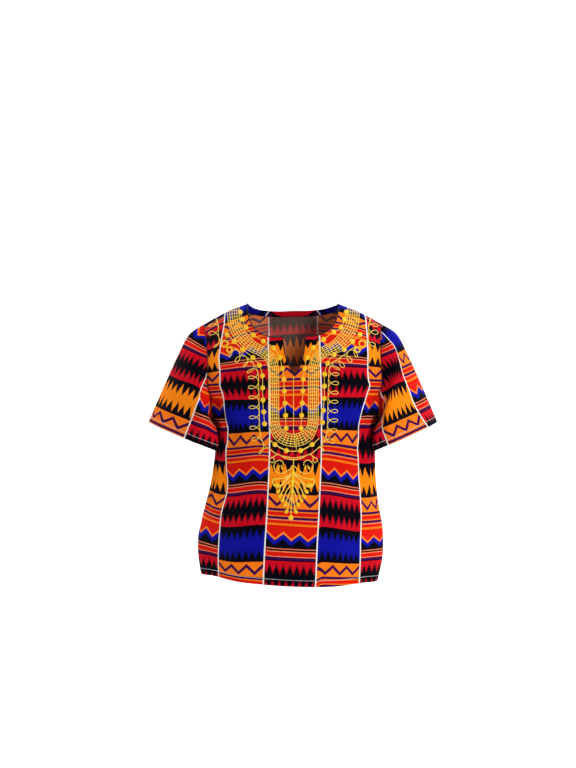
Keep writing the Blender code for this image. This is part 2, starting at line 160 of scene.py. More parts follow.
BACK_CREASES = [
    (-0.146, -0.110, -0.090, -0.190, 0.0070, -0.0018),
    (0.146, -0.112, 0.094, -0.196, 0.0070, -0.0018),
    (-0.040, -0.190, -0.052, -0.470, 0.0100, -0.0014),
    (0.060, -0.210, 0.066, -0.470, 0.0100, -0.0014),
    (0.004, -0.260, 0.010, -0.470, 0.0110, -0.0012),
    (-0.100, -0.240, -0.108, -0.470, 0.0110, -0.0013),
    (0.104, -0.260, 0.108, -0.470, 0.0110, -0.0013),
    (-0.060, -0.060, 0.060, -0.068, 0.0120, -0.0012),
]
FOLDS = {-1: FRONT_FOLDS + FRONT_CREASES, 1: BACK_FOLDS + BACK_CREASES}

# Sections of a sleeve, by their place along it
Section = namedtuple("Section", "outer_x outer_y outer_z clearance inner_y inner_z half_depth")
SECTIONS = [
    (0.00, 0.1470, 0.0000, -0.0350, 0.0000, 0.0000, -0.1870, 0.0500),
    (0.10, 0.1690, 0.0010, -0.0500, 0.0042, -0.0140, -0.1880, 0.0500),
    (0.25, 0.1860, 0.0020, -0.0810, 0.0034, -0.0360, -0.1960, 0.0490),
    (0.50, 0.2040, 0.0050, -0.1200, 0.0028, -0.0430, -0.2090, 0.0460),
    (0.75, 0.2200, 0.0080, -0.1560, 0.0024, -0.0450, -0.2230, 0.0430),
    (1.00, 0.2360, 0.0100, -0.1930, 0.0024, -0.0460, -0.2390, 0.0410),
]

# Folds of a sleeve: the turn and the place along it of the top and of the bottom
# end, then the width in degrees and the depth
SLEEVE_FOLDS = [
    (150.0, 0.05, 134.0, 1.10, 15.0, -0.0048),
    (112.0, 0.20, 106.0, 1.10, 13.0, 0.0030),
    (192.0, 0.20, 184.0, 1.10, 13.0, -0.0020),
    (96.0, 0.00, 72.0, 0.50, 16.0, -0.0024),
    (42.0, 0.30, 50.0, 1.10, 20.0, 0.0018),
    (205.0, 0.05, 232.0, 0.80, 15.0, -0.0046),
    (262.0, 0.00, 288.0, 0.60, 17.0, -0.0030),
    (318.0, 0.35, 306.0, 1.10, 20.0, 0.0022),
]
SLEEVE_CREASES = [
    (128.0, 0.00, 100.0, 0.45, 7.0, -0.0011),
    (70.0, 0.45, 62.0, 1.10, 8.0, -0.0010),
    (24.0, 0.50, 30.0, 1.10, 8.0, -0.0008),
    (236.0, 0.00, 256.0, 0.50, 8.0, -0.0012),
    (280.0, 0.50, 272.0, 1.10, 9.0, -0.0010),
]

# Degrees that count as long as the whole sleeve: in a fold's widths, and for a crease
SLEEVE_LENGTH_WIDTHS = 10.0
CREASE_LENGTH = 130.0

# The print, in cloth lengths: strips divided by white lines, each with the same
# bands one under the other. Every other strip is shifted along the cloth.
STRIP = 0.0815
REPEAT = 0.200
STRIP_START = 0.0365
SHIFTED_START = 0.1330
DIVIDER = 0.0020

# The side seams lie just inside the next white line
PRINT_END = 2.5 * STRIP - 0.0016

# Where the cuff lies along the print of a sleeve, and how its strips sit round it
SLEEVE_START = 0.1095
SLEEVE_STRETCH = 0.955
STRIP_RING = 0.70

# Degrees from the sleeve's outer line where the print starts to lie level, and
# where it follows the underarm again, each with the degrees that this takes
LEVEL_FROM, LEVEL_OVER = 50.0, 45.0
UNDER_FROM, UNDER_OVER = 138.0, 26.0

# Where the white lines of a sleeve lie along it: the turn of the outer and inner one
LEFT_LINES = [
    (0.00, 10.0, 97.0), (0.04, 10.5, 104.0), (0.09, 11.5, 109.5), (0.21, 13.0, 108.4),
    (0.39, 14.0, 101.8), (0.53, 12.0, 99.6), (0.75, 9.0, 96.7), (1.00, 7.0, 94.2),
]
RIGHT_LINES = [
    (0.00, 38.0, 124.0), (0.065, 46.4, 129.0), (0.115, 49.9, 130.5), (0.20, 56.4, 132.0),
    (0.30, 59.8, 134.5), (0.40, 60.3, 136.0), (0.50, 60.4, 135.5), (0.63, 60.6, 134.5),
    (0.82, 57.6, 129.0), (1.00, 51.2, 124.5),
]

# How far the gathered cloth draws the outer white lines in, by level: left and right
GATHERS = [
    (-0.440, -0.0010, 0.0030), (-0.348, 0.0020, 0.0075), (-0.305, 0.0110, 0.0115),
    (-0.275, 0.0075, 0.0150), (-0.240, 0.0050, 0.0190), (-0.206, 0.0075, 0.0175),
    (-0.190, 0.0030, 0.0160), (-0.176, 0.0040, 0.0140), (-0.150, 0.0055, 0.0060),
    (-0.123, -0.0010, -0.0042), (-0.080, 0.0000, -0.0030), (-0.055, 0.0030, -0.0015),
    (-0.020, 0.0080, -0.0005),
]

# How much lower the print lies on the worn front than on the flat cloth, by level,
# from its left side to its right. The middle strip has one value all across.
SETTLE_PLACES = (-0.150, -0.116, -0.045, -0.036, 0.036, 0.045, 0.118)
SETTLE_MIDDLE = 3
SETTLES = [
    (-0.440, 0.0010, 0.0007, 0.0019, 0.0000, -0.0048, 0.0010),
    (-0.415, 0.0050, 0.0055, 0.0000, 0.0000, -0.0038, 0.0021),
    (-0.370, 0.0050, 0.0085, -0.0015, 0.0000, -0.0046, 0.0028),
    (-0.300, 0.0050, 0.0087, -0.0023, 0.0000, -0.0055, 0.0031),
    (-0.240, 0.0060, 0.0076, -0.0010, 0.0000, -0.0055, 0.0028),
    (-0.210, 0.0044, 0.0044, 0.0000, 0.0000, -0.0042, -0.0012),
    (-0.160, 0.0000, 0.0004, 0.0009, 0.0000, -0.0009, -0.0004),
    (-0.115, -0.0012, -0.0008, 0.0009, -0.0020, -0.0009, -0.0008),
    (-0.100, -0.0005, 0.0001, 0.0009, 0.0020, -0.0009, -0.0012),
    (-0.085, 0.0010, 0.0010, 0.0009, 0.0065, -0.0009, -0.0018),
    (-0.062, 0.0028, 0.0024, 0.0009, 0.0145, -0.0009, -0.0026),
    (-0.020, 0.0028, 0.0024, 0.0009, 0.0160, -0.0009, -0.0026),
]

# Cloth and its edges
CLOTH = 0.0006
FOLD_RADIUS = 0.0007
HEM_TURN = 0.009
HEM_TURN_ROWS = 4
NECK_TURN_ROWS = (0.3, 0.6, 0.9)
CUFF_TURNS = (0.003, 0.006, HEM_TURN)
TURN_STEP = 0.001
SEAM_GROOVE = 0.0010
SEAM_REACH = 0.0022

# Finer grid of the cloth in this scene
FINE = 5
COLUMNS = 84
SLEEVE_RINGS = 84
SLEEVE_COLUMNS = 168
SLEEVE_SPREAD = 0.9
ARC_RINGS = 160
ARC_COLUMNS = 180


# ---- form


def smooth(share):
    share = np.clip(share, 0.0, 1.0)
    return share * share * (3.0 - 2.0 * share)


def rounded(value, power):
    return np.copysign(np.abs(value) ** power, value)


def mix(low, high, share):
    return low + (high - low) * share


def curve_through(places, values, at):
    """The smooth curve through the values of a table, read at the given places."""
    places, values = np.asarray(places), np.asarray(values)
    last = len(places) - 1
    at = np.clip(at, places[0], places[-1])
    after = np.clip(np.searchsorted(places, at), 1, last)
    before = after - 1
    earlier, later = np.maximum(before - 1, 0), np.minimum(after + 1, last)
    span = places[after] - places[before]
    share = (at - places[before]) / span
    low_slope = (values[after] - values[earlier]) / (places[after] - places[earlier]) * span
    high_slope = (values[later] - values[before]) / (places[later] - places[before]) * span
    square, cube = share**2, share**3
    return (
        (2 * cube - 3 * square + 1) * values[before]
        + (cube - 2 * square + share) * low_slope
        + (3 * square - 2 * cube) * values[after]
        + (cube - square) * high_slope
    )


def columns_at(table, at):
    """The further columns of a table, read by smooth curves at places of its first."""
    places, *columns = zip(*table)
    return [curve_through(places, column, at) for column in columns]


def lengths(steps, axis=0):
    """Running length over steps, from 0 on."""
    first = np.zeros_like(np.take(steps, [0], axis=axis))
    return np.concatenate([first, np.cumsum(steps, axis=axis)], axis=axis)


def lengths_along(points, axis=0):
    """Running length of a row or grid of points along one of its axes."""
    return lengths(np.linalg.norm(np.diff(points, axis=axis), axis=-1), axis)


RING_COLUMNS = Ring(*zip(*RINGS))
RISES = lengths(np.hypot(np.diff(RING_COLUMNS.level), np.diff(RING_COLUMNS.front)))
TOP = RISES[-1]
DENSE = np.linspace(0.0, TOP, CURVE_POINTS)
RING_CURVES = Ring(*(curve_through(RISES, column, DENSE) for column in RING_COLUMNS))


def ring_at(rise):
    return Ring(*(np.interp(rise, DENSE, curve) for curve in RING_CURVES))


def rise_of(level):
    return np.interp(level, RING_CURVES.level, DENSE)


def crest(across):
    return CREST_RISE * (1.0 - (across / NECK_HALF_WIDTH) ** 2)


def body_point(rise, angle, facing):
    """Points of the body's form without its folds."""
    ring, upper, lower = ring_at(rise), ring_at(rise + LEAN_STEP), ring_at(rise - LEAN_STEP)
    lean = (upper.sway - lower.sway) / np.maximum(upper.level - lower.level, LEAN_STEP)
    turn = np.radians(angle)
    across = ring.half_width * rounded(np.sin(turn), 2.0 / ring.squareness)
    reach = ring.front if facing < 0 else ring.back
    depth = facing * reach * np.maximum(np.cos(turn), 0.0) ** (2.0 / ring.squareness)
    drop = ring.slope * crest(across) - lean * across
    if facing < 0:
        drop = drop - ring.sag * np.cos(turn) ** 2
    return np.stack([ring.sway + across, depth, ring.level + drop], axis=-1)


def unit(vectors):
    length = np.linalg.norm(vectors, axis=-1, keepdims=True)
    return vectors / np.maximum(length, 1e-12)


def outward(rise, angle, facing, point_at):
    """Unit normals of a form that point_at(rise, angle, facing) gives."""
    rise = np.clip(rise, SLOPE_STEP, TOP - SLOPE_STEP)
    up = point_at(rise + SLOPE_STEP, angle, facing) - point_at(rise - SLOPE_STEP, angle, facing)
    angle = np.clip(angle, SLOPE_TURN - 90, 90 - SLOPE_TURN)
    over = point_at(rise, angle + SLOPE_TURN, facing) - point_at(rise, angle - SLOPE_TURN, facing)
    return unit(np.cross(up, over) * facing)


def reach_along(x, y, ax, ay, bx, by):
    dx, dy = bx - ax, by - ay
    share = ((x - ax) * dx + (y - ay) * dy) / (dx * dx + dy * dy)
    held = np.clip(share, 0.0, 1.0)
    return np.hypot(x - ax - held * dx, y - ay - held * dy), share


def crease(distance, width, share, runs_out):
    fade = smooth(share / FOLD_FADE)
    if not runs_out:
        fade = fade * smooth((1.0 - share) / FOLD_FADE)
    return np.exp(-((distance / width) ** 2)) * fade


def folds_height(across, level, folds):
    """How far the folds lift the cloth off the form."""
    height = np.zeros(np.broadcast(across, level).shape)
    for *ends, width, depth in folds:
        distance, share = reach_along(across, level, *ends)
        height += depth * crease(distance, width, share, ends[3] < HEM_END)
    return height


def ripple(across, level, facing):
    """A very low unevenness that all worn cloth has."""
    # Height, turn for each metre across and up, and start
    waves = (
        (0.00022, 96.0, 31.0, 1.3 * facing),
        (0.00018, 41.0, -88.0, 0.7),
        (0.00014, 173.0, 57.0, 2.1),
    )
    return sum(high * np.sin(across * over + level * up + start) for high, over, up, start in waves)


def cloth_point(rise, angle, facing):
    """Points of the cloth's outer face, with folds and creases."""
    point = body_point(rise, angle, facing)
    level = point[..., 2]
    height = folds_height(angle / 90.0 * HALF_GIRTH, level, FOLDS[facing])
    height = (height + ripple(point[..., 0], level, facing)) * smooth((90.0 - np.abs(angle)) / SEAM_FADE)
    return point + outward(rise, angle, facing, body_point) * height[..., None]


UNDERARM = float(rise_of(UNDERARM_LEVEL))
SLIT_FOOT = float(rise_of(SLIT_LEVEL))


def angle_of(across, rise):
    ring = ring_at(rise)
    share = np.clip(across / ring.half_width, -1.0, 1.0)
    return np.degrees(np.arcsin(rounded(share, ring.squareness / 2.0)))


def armhole(turn):
    around = np.radians(turn)
    level = UNDERARM_LEVEL * (1.0 - np.cos(around)) / 2.0
    sweep = ARMHOLE_SWEEP * np.maximum(np.sin(around), 0.0) ** ARMHOLE_CURVE
    return rise_of(level), 90.0 - sweep


def row_end(row):
    """Rise and angle where a row of a body panel meets the next piece."""
    side_rise = UNDERARM * row / SIDE_ROWS
    arm_rise, arm_angle = armhole(180.0 * np.clip((TIP_ROW - row) / ARM_ROWS, 0.0, 1.0))
    share = (row - TIP_ROW) / SHOULDER_ROWS
    shoulder_angle = angle_of(mix(SHOULDER_TIP, NECK_HALF_WIDTH, share), TOP)
    rise = np.where(row <= SIDE_ROWS, side_rise, np.where(row <= TIP_ROW, arm_rise, TOP))
    angle = np.where(row <= SIDE_ROWS, 90.0, np.where(row <= TIP_ROW, arm_angle, shoulder_angle))
    return rise, angle


def row_middle(row, facing):
    """Rise of a row at the centre of a body panel."""
    chest = UNDERARM - ROW_DIP
    if facing > 0:
        return np.interp(row, [0, SIDE_ROWS, ROWS], [0.0, chest, rise_of(NECK_BACK_LEVEL)])
    stops = [0.0, chest, SLIT_FOOT, rise_of(NECK_FRONT_LEVEL)]
    return np.interp(row, [0, SIDE_ROWS, SLIT_ROW, ROWS], stops)


def slit_half_width(row):
    share = np.maximum(row - SLIT_ROW, 0) / (ROWS - SLIT_ROW)
    return SLIT_SHOULDER * (1.0 - (1.0 - share) ** 3) + SLIT_FLARE * share


def panel_place(row, share, facing):
    """Rise and angle of a grid point, for share 0 at the centre to 1 at the seam."""
    end_rise, end_angle = row_end(row)
    curve = NECK_FRONT_CURVE if facing < 0 else NECK_BACK_CURVE
    turn = np.radians(90.0 * share)
    bend = smooth((row - TIP_ROW) / SHOULDER_ROWS)
    across = mix(share, np.sin(turn) ** (2.0 / curve), bend)
    lift = mix(ROW_CURVE, curve, smooth((row - SIDE_ROWS) / (ROWS - SIDE_ROWS)))
    climb = 1.0 - np.maximum(np.cos(turn), 0.0) ** (2.0 / lift)
    rise = mix(row_middle(row, facing), end_rise, climb)
    start = slit_half_width(row) if facing < 0 else 0.0
    ring, end_ring = ring_at(rise), ring_at(end_rise)
    end_reach = np.sin(np.radians(end_angle)) ** (2.0 / end_ring.squareness)
    reach = mix(start / ring.half_width, end_reach, across)
    level_angle = end_angle * across
    raised_angle = np.degrees(np.arcsin(np.clip(reach, 0.0, 1.0) ** (ring.squareness / 2.0)))
    return rise, mix(level_angle, raised_angle, smooth((row - SIDE_ROWS) / ROW_BLEND))


def arc_table(facing):
    """Cloth width from the centre line, by rise and angle, on the form without folds."""
    rises = np.linspace(0.0, TOP, ARC_RINGS + 1)[:, None]
    return lengths_along(body_point(rises, np.linspace(0.0, 90.0, ARC_COLUMNS + 1), facing), 1)


ARC_WIDTHS = {facing: arc_table(facing) for facing in (-1, 1)}


def arc_width(rise, angle, facing):
    """Cloth width from the centre line to an angle, at a rise."""
    table = ARC_WIDTHS[facing]
    row = np.clip(rise / TOP * ARC_RINGS, 0, ARC_RINGS - 0.001)
    column = np.clip(np.abs(angle) / 90.0 * ARC_COLUMNS, 0, ARC_COLUMNS - 0.001)
    i, j = row.astype(int), column.astype(int)
    low = mix(table[i, j], table[i, j + 1], column - j)
    high = mix(table[i + 1, j], table[i + 1, j + 1], column - j)
    return np.copysign(mix(low, high, row - i), angle)


# ---- sheets


def gathered(width, rise, facing):
    """Place across the print of a point at a cloth width from the centre line."""
    if facing < 0:
        by_rise = [(rise_of(level), *drawn) for level, *drawn in GATHERS]
        left, right = (np.interp(rise, DENSE, curve) for curve in columns_at(by_rise, DENSE))
        drawn = np.where(width < 0, left, right)
        share = np.clip((np.abs(width) - STRIP / 2) / (STRIP - drawn), 0.0, 1.0)
        width = width + np.copysign(drawn * share, width)
    return np.clip(width, -PRINT_END, PRINT_END)


def settled(points, rise, facing):
    """Place along the print of a point of a body panel."""
    if facing > 0:
        return rise
    drops = columns_at(SETTLES, np.interp(rise, DENSE, RING_CURVES.level))
    drops.insert(SETTLE_MIDDLE, drops[SETTLE_MIDDLE])
    low = drops[0]
    for here, after, a, b in zip(drops, drops[1:], SETTLE_PLACES, SETTLE_PLACES[1:]):
        share = smooth((points[..., 0] - a) / (b - a))
        low = np.where(points[..., 0] >= a, mix(here, after, share), low)
    return rise + low


class Shape:
    """Points, places on the cloth and faces of one mesh, gathered part by part."""

    def __init__(self):
        self.points, self.places, self.faces, self.count = [], [], [], 0

    def add(self, points, across, along):
        """Adds an array of points with their places. Returns their numbers."""
        shape = points.shape[:-1]
        numbers = np.arange(self.count, self.count + int(np.prod(shape))).reshape(shape)
        self.count += numbers.size
        places = [np.broadcast_to(place, shape) for place in (across, along)]
        self.points.append(points.reshape(-1, 3))
        self.places.append(np.stack(places, axis=-1).reshape(-1, 2))
        return numbers

    def join(self, numbers, flip=False):
        """Quads over a grid of point numbers."""
        corners = [numbers[:-1, :-1], numbers[:-1, 1:], numbers[1:, 1:], numbers[1:, :-1]]
        quads = np.stack(corners, axis=-1).reshape(-1, 4)
        self.faces.append(quads[:, ::-1] if flip else quads)

    def make(self, name, layer, materials):
        """The object, with its places on the cloth as a layer of coordinates."""
        points, places = np.concatenate(self.points), np.concatenate(self.places)
        faces = [list(dict.fromkeys(quad)) for quad in np.concatenate(self.faces).tolist()]
        mesh = bpy.data.meshes.new(name)
        mesh.from_pydata(points.tolist(), [], [face for face in faces if len(face) > 2])
        corners = np.empty(len(mesh.loops), dtype=np.int32)
        mesh.loops.foreach_get("vertex_index", corners)
        coordinates = places[corners].astype(np.float32).ravel()
        mesh.uv_layers.new(name=layer).uv.foreach_set("vector", coordinates)
        mesh.shade_smooth()
        for material in materials:
            mesh.materials.append(material)
        return placed(name, mesh)


def placed(name, data):
    """A new object in the scene."""
    piece = bpy.data.objects.new(name, data)
    bpy.context.scene.collection.objects.link(piece)
    return piece


def cloth_piece(shape, name, materials):
    """A thin shell of cloth, with the second material on its inner face."""
    piece = shape.make(name, "cloth", materials)
    wall = piece.modifiers.new("wall", "SOLIDIFY")
    wall.thickness = CLOTH
    wall.offset = -1.0
    wall.use_even_offset = False
    wall.material_offset = 1
    return piece


def fold_over(edge, before, normals):
    """Rows of points that turn a cloth edge over to its inner side."""
    beyond = unit(edge - before)
    rows = []
    for turn in (45, 90, 135, 180):
        around = math.radians(turn)
        lift = FOLD_RADIUS * math.sin(around)
        drop = FOLD_RADIUS * (1.0 - math.cos(around))
        rows.append(edge + beyond * lift - normals * drop)
    return rows


def sunk_at_seam(points, normals):
    """Rows of points that sink in a soft groove where they end at a seam."""
    to_seam = lengths_along(points[:, ::-1], 1)[:, ::-1]
    groove = SEAM_GROOVE * np.exp(-((to_seam / SEAM_REACH) ** 2))
    return points - normals * groove[..., None]


def body_half(shape, side, facing, middle):
    """One half of a body panel, with its turned hem and neck edge. Returns the numbers of
    its points down the centre, which the other half takes as its middle."""
    rows = np.linspace(0.0, ROWS, ROWS * FINE + 1)
    shares = np.linspace(0.0, 1.0, COLUMNS + 1)

    def surface(row, share):
        rise, angle = panel_place(row, share, facing)
        angle = side * angle
        normals = outward(rise, angle, facing, cloth_point)
        return rise, angle, sunk_at_seam(cloth_point(rise, angle, facing), normals), normals

    def turned(row):
        """A row of the cloth turned in, just under the outer layer."""
        _, _, line, normals = surface(np.full((1, len(shares)), row), shares[None, :])
        return (line - normals * 2 * FOLD_RADIUS)[0]

    rise, angle, points, normals = surface(*np.meshgrid(rows, shares, indexing="ij"))
    across = gathered(arc_width(rise, angle, facing), rise, facing)
    along = settled(points, rise, facing)
    flip = side * facing > 0
    slit = SLIT_ROW * FINE
    shared = slit + 1 if facing < 0 else len(rows)
    numbers = shape.add(points, across, along)
    if middle:
        numbers[:shared, 0] = middle[0][:shared]
    shape.join(numbers, flip)

    # Hem: over the edge and back up inside
    hem = fold_over(points[0], points[1], normals[0])
    hem_rows = np.linspace(0.0, HEM_TURN / UNDERARM * SIDE_ROWS, HEM_TURN_ROWS + 1)
    hem += [turned(row) for row in hem_rows[1:]]
    down = TURN_STEP * np.arange(len(hem))[:, None]
    hem_numbers = shape.add(np.stack(hem), across[0], along[0] - down)
    if middle:
        hem_numbers[:, 0] = middle[1]
    shape.join(np.concatenate([numbers[:1], hem_numbers]), not flip)

    # Neck: the same, over the top edge
    neck = fold_over(points[-1], points[-2], normals[-1])
    neck += [turned(ROWS - back) for back in NECK_TURN_ROWS]
    up = TURN_STEP * np.arange(1, len(neck) + 1)[:, None]
    neck_numbers = shape.add(np.stack(neck), across[-1], along[-1] + up)
    if middle and facing > 0:
        neck_numbers[:, 0] = middle[2]
    shape.join(np.concatenate([numbers[-1:], neck_numbers]), flip)

    # Slit: the front's centre edge turns over too
    if facing < 0:
        edge = slice(slit, None)
        turns = np.stack(fold_over(points[edge, 0], points[edge, 1], normals[edge, 0]), axis=1)
        slit_numbers = shape.add(turns, across[edge, :1], along[edge, :1])
        slit_numbers[0, :] = numbers[slit, 0]
        shape.join(np.concatenate([numbers[edge, :1], slit_numbers], axis=1), not flip)
    return numbers[:, 0], hem_numbers[:, 0], neck_numbers[:, 0]


def body_panel(name, facing, materials):
    shape = Shape()
    middle = body_half(shape, 1, facing, None)
    body_half(shape, -1, facing, middle)
    return cloth_piece(shape, name, materials)


# ---- sleeves


def body_side(depth, level, side):
    ring = ring_at(rise_of(level))
    reach = np.where(depth < 0, ring.front, ring.back)
    share = 1.0 - (np.abs(depth) / reach) ** ring.squareness
    return ring.half_width * share ** (1.0 / ring.squareness) + side * ring.sway


def section_ends(along, side):
    """The outer and the inner end of a sleeve's section, and its half depth."""
    section = Section(*columns_at(SECTIONS, along))
    inner_x = body_side(section.inner_y, section.inner_z, side) + section.clearance
    outer = np.stack([side * section.outer_x, section.outer_y, section.outer_z], axis=-1)
    inner = np.stack([side * inner_x, section.inner_y, section.inner_z], axis=-1)
    return outer, inner, section.half_depth


def section_point(along, turn, side):
    outer, inner, half_depth = section_ends(along, side)
    around = np.radians(turn)
    point = (outer + inner) / 2 + (outer - inner) / 2 * np.cos(around)[..., None]
    point[..., 1] -= half_depth * rounded(np.sin(around), SLEEVE_ROUNDNESS)
    return point


def sleeve_height(turn, along):
    """How far the folds lift a sleeve's cloth off its form."""
    turn = np.mod(turn, 360.0)
    folds = [(*fold, fold[4] * SLEEVE_LENGTH_WIDTHS) for fold in SLEEVE_FOLDS]
    folds += [(*fold, CREASE_LENGTH) for fold in SLEEVE_CREASES]
    height = np.zeros(np.broadcast(turn, along).shape)
    for turn_top, top, turn_bottom, bottom, width, depth, length in folds:
        ends = (turn_top, top * length, turn_bottom, bottom * length)
        distance, share = reach_along(turn, along * length, *ends)
        height += depth * crease(distance, width, share, bottom > 1.0)
    return height * smooth(along / ARMHOLE_FADE)


def armhole_point(turn, side):
    """Points of the seam line round one armhole: turn 0 at the shoulder, 90 in front."""
    turn = np.mod(turn, 360.0)
    front_rise, front_angle = armhole(np.minimum(turn, 180.0))
    back_rise, back_angle = armhole(360.0 - np.maximum(turn, 180.0))
    front = cloth_point(front_rise, side * front_angle, -1)
    back = cloth_point(back_rise, side * back_angle, 1)
    return np.where((turn <= 180.0)[..., None], front, back)


def sleeve_point(along, turn, side):
    along, turn = np.broadcast_arrays(np.asarray(along, float), np.asarray(turn, float))
    follow = (1.0 - np.minimum(along / SLEEVE_FIT, 1.0)) ** 2
    fitted = armhole_point(turn, side) - section_point(np.zeros_like(along), turn, side)
    point = section_point(along, turn, side) + fitted * follow[..., None]
    outer, inner, _ = section_ends(along, side)
    away = unit(point - (outer + inner) / 2)
    return point + away * sleeve_height(turn, along)[..., None]


def strip_width(points, alongs, turns, lines):
    """Place of sleeve points across the strips of the print. The strips run along
    the sleeve, and the white lines pass where the table has them."""
    around = lengths_along(points[np.searchsorted(alongs, STRIP_RING)])
    strips = np.array([-3.5, -0.5, 0.5, 3.5]) * STRIP
    across = np.empty(points.shape[:2])
    for row, along in enumerate(alongs):
        first, second = np.interp(columns_at(lines, along), turns, around)
        places = (first - 3 * STRIP, first, second, second + 3 * STRIP)
        across[row] = np.interp(around, places, strips)
    return across


def sleeve(name, side, lines, materials):
    """A sleeve: a tube that closes at the underarm seam, with a turned cuff."""
    alongs = np.linspace(0.0, 1.0, SLEEVE_RINGS + 1) ** SLEEVE_SPREAD
    turns = np.linspace(-180.0, 180.0, SLEEVE_COLUMNS + 1)
    points = sleeve_point(alongs[:, None], turns, side)
    normals = unit(np.cross(np.gradient(points, axis=1), np.gradient(points, axis=0))) * side
    run, around = lengths_along(points), lengths_along(points, 1)
    to_cuff = run[-1:] - run
    across = strip_width(points, alongs, turns, lines)
    groove = np.exp(-((run / SEAM_REACH) ** 2))
    groove = groove + np.exp(-((np.minimum(around, around[:, -1:] - around) / SEAM_REACH) ** 2))
    points = points - normals * (SEAM_GROOVE * groove)[..., None]

    # The strips lie level in front and behind, and follow the cloth elsewhere
    outer, inner, _ = section_ends(np.array([0.0, 1.0]), side)
    rising = unit((outer[0] + inner[0]) - (outer[1] + inner[1]))
    level_run = (points - points[-1:]) @ rising
    level = smooth((np.abs(turns) - LEVEL_FROM) / LEVEL_OVER)
    level = level * (1.0 - smooth((np.abs(turns) - UNDER_FROM) / UNDER_OVER))
    up = SLEEVE_START + mix(to_cuff, level_run, level) * SLEEVE_STRETCH

    cuff = fold_over(points[-1], points[-2], normals[-1])
    for depth in CUFF_TURNS:
        back = np.array([np.interp(depth, column[::-1], alongs[::-1]) for column in to_cuff.T])
        cuff.append(sleeve_point(back, turns, side) - normals[-1] * 2 * FOLD_RADIUS)
    down = TURN_STEP * np.arange(1, len(cuff) + 1)[:, None]

    shape = Shape()
    numbers = shape.add(points, across, up)
    shape.join(numbers, side < 0)
    cuff_numbers = shape.add(np.stack(cuff), across[-1], up[-1] - down)
    shape.join(np.concatenate([numbers[-1:], cuff_numbers]), side < 0)
    return cloth_piece(shape, name, materials)


# ---- threads

THREAD_WIDTH = 0.0014
THREAD_HEIGHT = 0.0009
FINE_THREAD = 0.0010
THREAD_SIDES = 6
THREAD_LIFT = 0.55
THREAD_ROUND = 0.002

# Satin dots are low domes, with their rim sunk in the cloth
DOT_RADIUS = 0.0041
DOT_HEIGHT = 0.0011
DOT_CURVE = 0.8
DOT_RINGS = 4
DOT_SPOKES = 14
DOT_CLEAR = 0.0001
DOT_SINK = 0.0004

# Steps of the lines on the chart, and of the search for their places on the form
CHART_STEP = 0.0012
PATH_STEP = 0.001
PATH_POINTS = 600
PLACE_STEPS = 24


def front_place(x, z):
    """Rise and angle on the front for a place x and a level z."""
    rise = rise_of(z)
    for _ in range(PLACE_STEPS):
        angle = angle_of(x - ring_at(rise).sway, rise)
        miss = z - body_point(rise, angle, -1)[..., 2]
        rise = np.clip(rise + miss, 0.0, TOP - 1e-5)
    return rise, angle


def on_front(x, z):
    """Points and normals of the front's outer face."""
    rise, angle = front_place(np.asarray(x, float), np.asarray(z, float))
    return cloth_point(rise, angle, -1), outward(rise, angle, -1, cloth_point)


class Threads(Shape):
    """Raised threads and stitched shapes gathered into one mesh."""

    def strand(self, points, normals, width, height, closed=False):
        """A thread laid along points of the cloth, wider than it is high."""
        if closed:
            ahead = np.roll(points, -1, axis=0) - np.roll(points, 1, axis=0)
        else:
            ahead = np.gradient(points, axis=0)
        beside = unit(np.cross(unit(ahead), normals))
        turns = np.linspace(0.0, 2 * math.pi, THREAD_SIDES, endpoint=False)
        width, height = (np.broadcast_to(size, len(points))[:, None] for size in (width, height))
        ring = (
            points[:, None]
            + beside[:, None] * (np.cos(turns) * width / 2)[..., None]
            + normals[:, None] * ((np.sin(turns) + THREAD_LIFT) * height / 2)[..., None]
        )
        numbers = self.add(ring, lengths_along(points)[:, None], turns / (2 * math.pi) * THREAD_ROUND)
        if closed:
            numbers = np.concatenate([numbers, numbers[:1]])
        else:
            half = THREAD_SIDES // 2
            for end, flip in ((numbers[0], True), (numbers[-1], False)):
                self.join(np.stack([end[:half], end[: half - 1 : -1]]), flip)
        self.join(np.concatenate([numbers, numbers[:, :1]], axis=1))

    def chart_strand(self, x, z, width, height=THREAD_HEIGHT, step=CHART_STEP):
        """A thread along a line of the front's chart."""
        run = lengths(np.hypot(np.diff(x), np.diff(z)))
        at = np.linspace(0.0, run[-1], max(int(run[-1] / step), 3))
        points, normals = on_front(np.interp(at, run, x), np.interp(at, run, z))
        self.strand(points, normals, width, height)

    def dot(self, x, z, radius=DOT_RADIUS):
        """A round of satin stitches, as a low dome on the front."""
        share = np.linspace(0.0, math.pi / 2, DOT_RINGS + 1)[:, None]
        turns = np.linspace(0.0, 2 * math.pi, DOT_SPOKES, endpoint=False)
        dx = radius * np.sin(share) * np.cos(turns)
        dz = radius * np.sin(share) * np.sin(turns)
        points, normals = on_front(x + dx, z + dz)
        lift = DOT_HEIGHT * np.cos(share) ** DOT_CURVE + DOT_CLEAR
        points = points + normals * lift[..., None]
        points[-1] -= normals[-1] * DOT_SINK
        numbers = self.add(points, dx, dz)
        numbers = np.concatenate([numbers, numbers[:, :1]], axis=1)
        numbers[0] = numbers[0, 0]
        self.join(numbers)

    def build(self, name, material):
        piece = self.make(name, "thread", [material])
        bm = bmesh.new()
        bm.from_mesh(piece.data)
        bmesh.ops.recalc_face_normals(bm, faces=bm.faces)
        bm.to_mesh(piece.data)
        bm.free()
        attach(piece, "root")
        return piece


def smooth_path(x, z):
    """A smooth line through a few chart points, at even steps, with its running length."""
    run = lengths(np.hypot(np.diff(x), np.diff(z)))
    fine = np.linspace(0.0, run[-1], PATH_POINTS)
    fx, fz = curve_through(run, x, fine), curve_through(run, z, fine)
    length = lengths(np.hypot(np.diff(fx), np.diff(fz)))
    at = np.linspace(0.0, length[-1], max(int(length[-1] / PATH_STEP), 4))
    return np.interp(at, length, fx), np.interp(at, length, fz), at


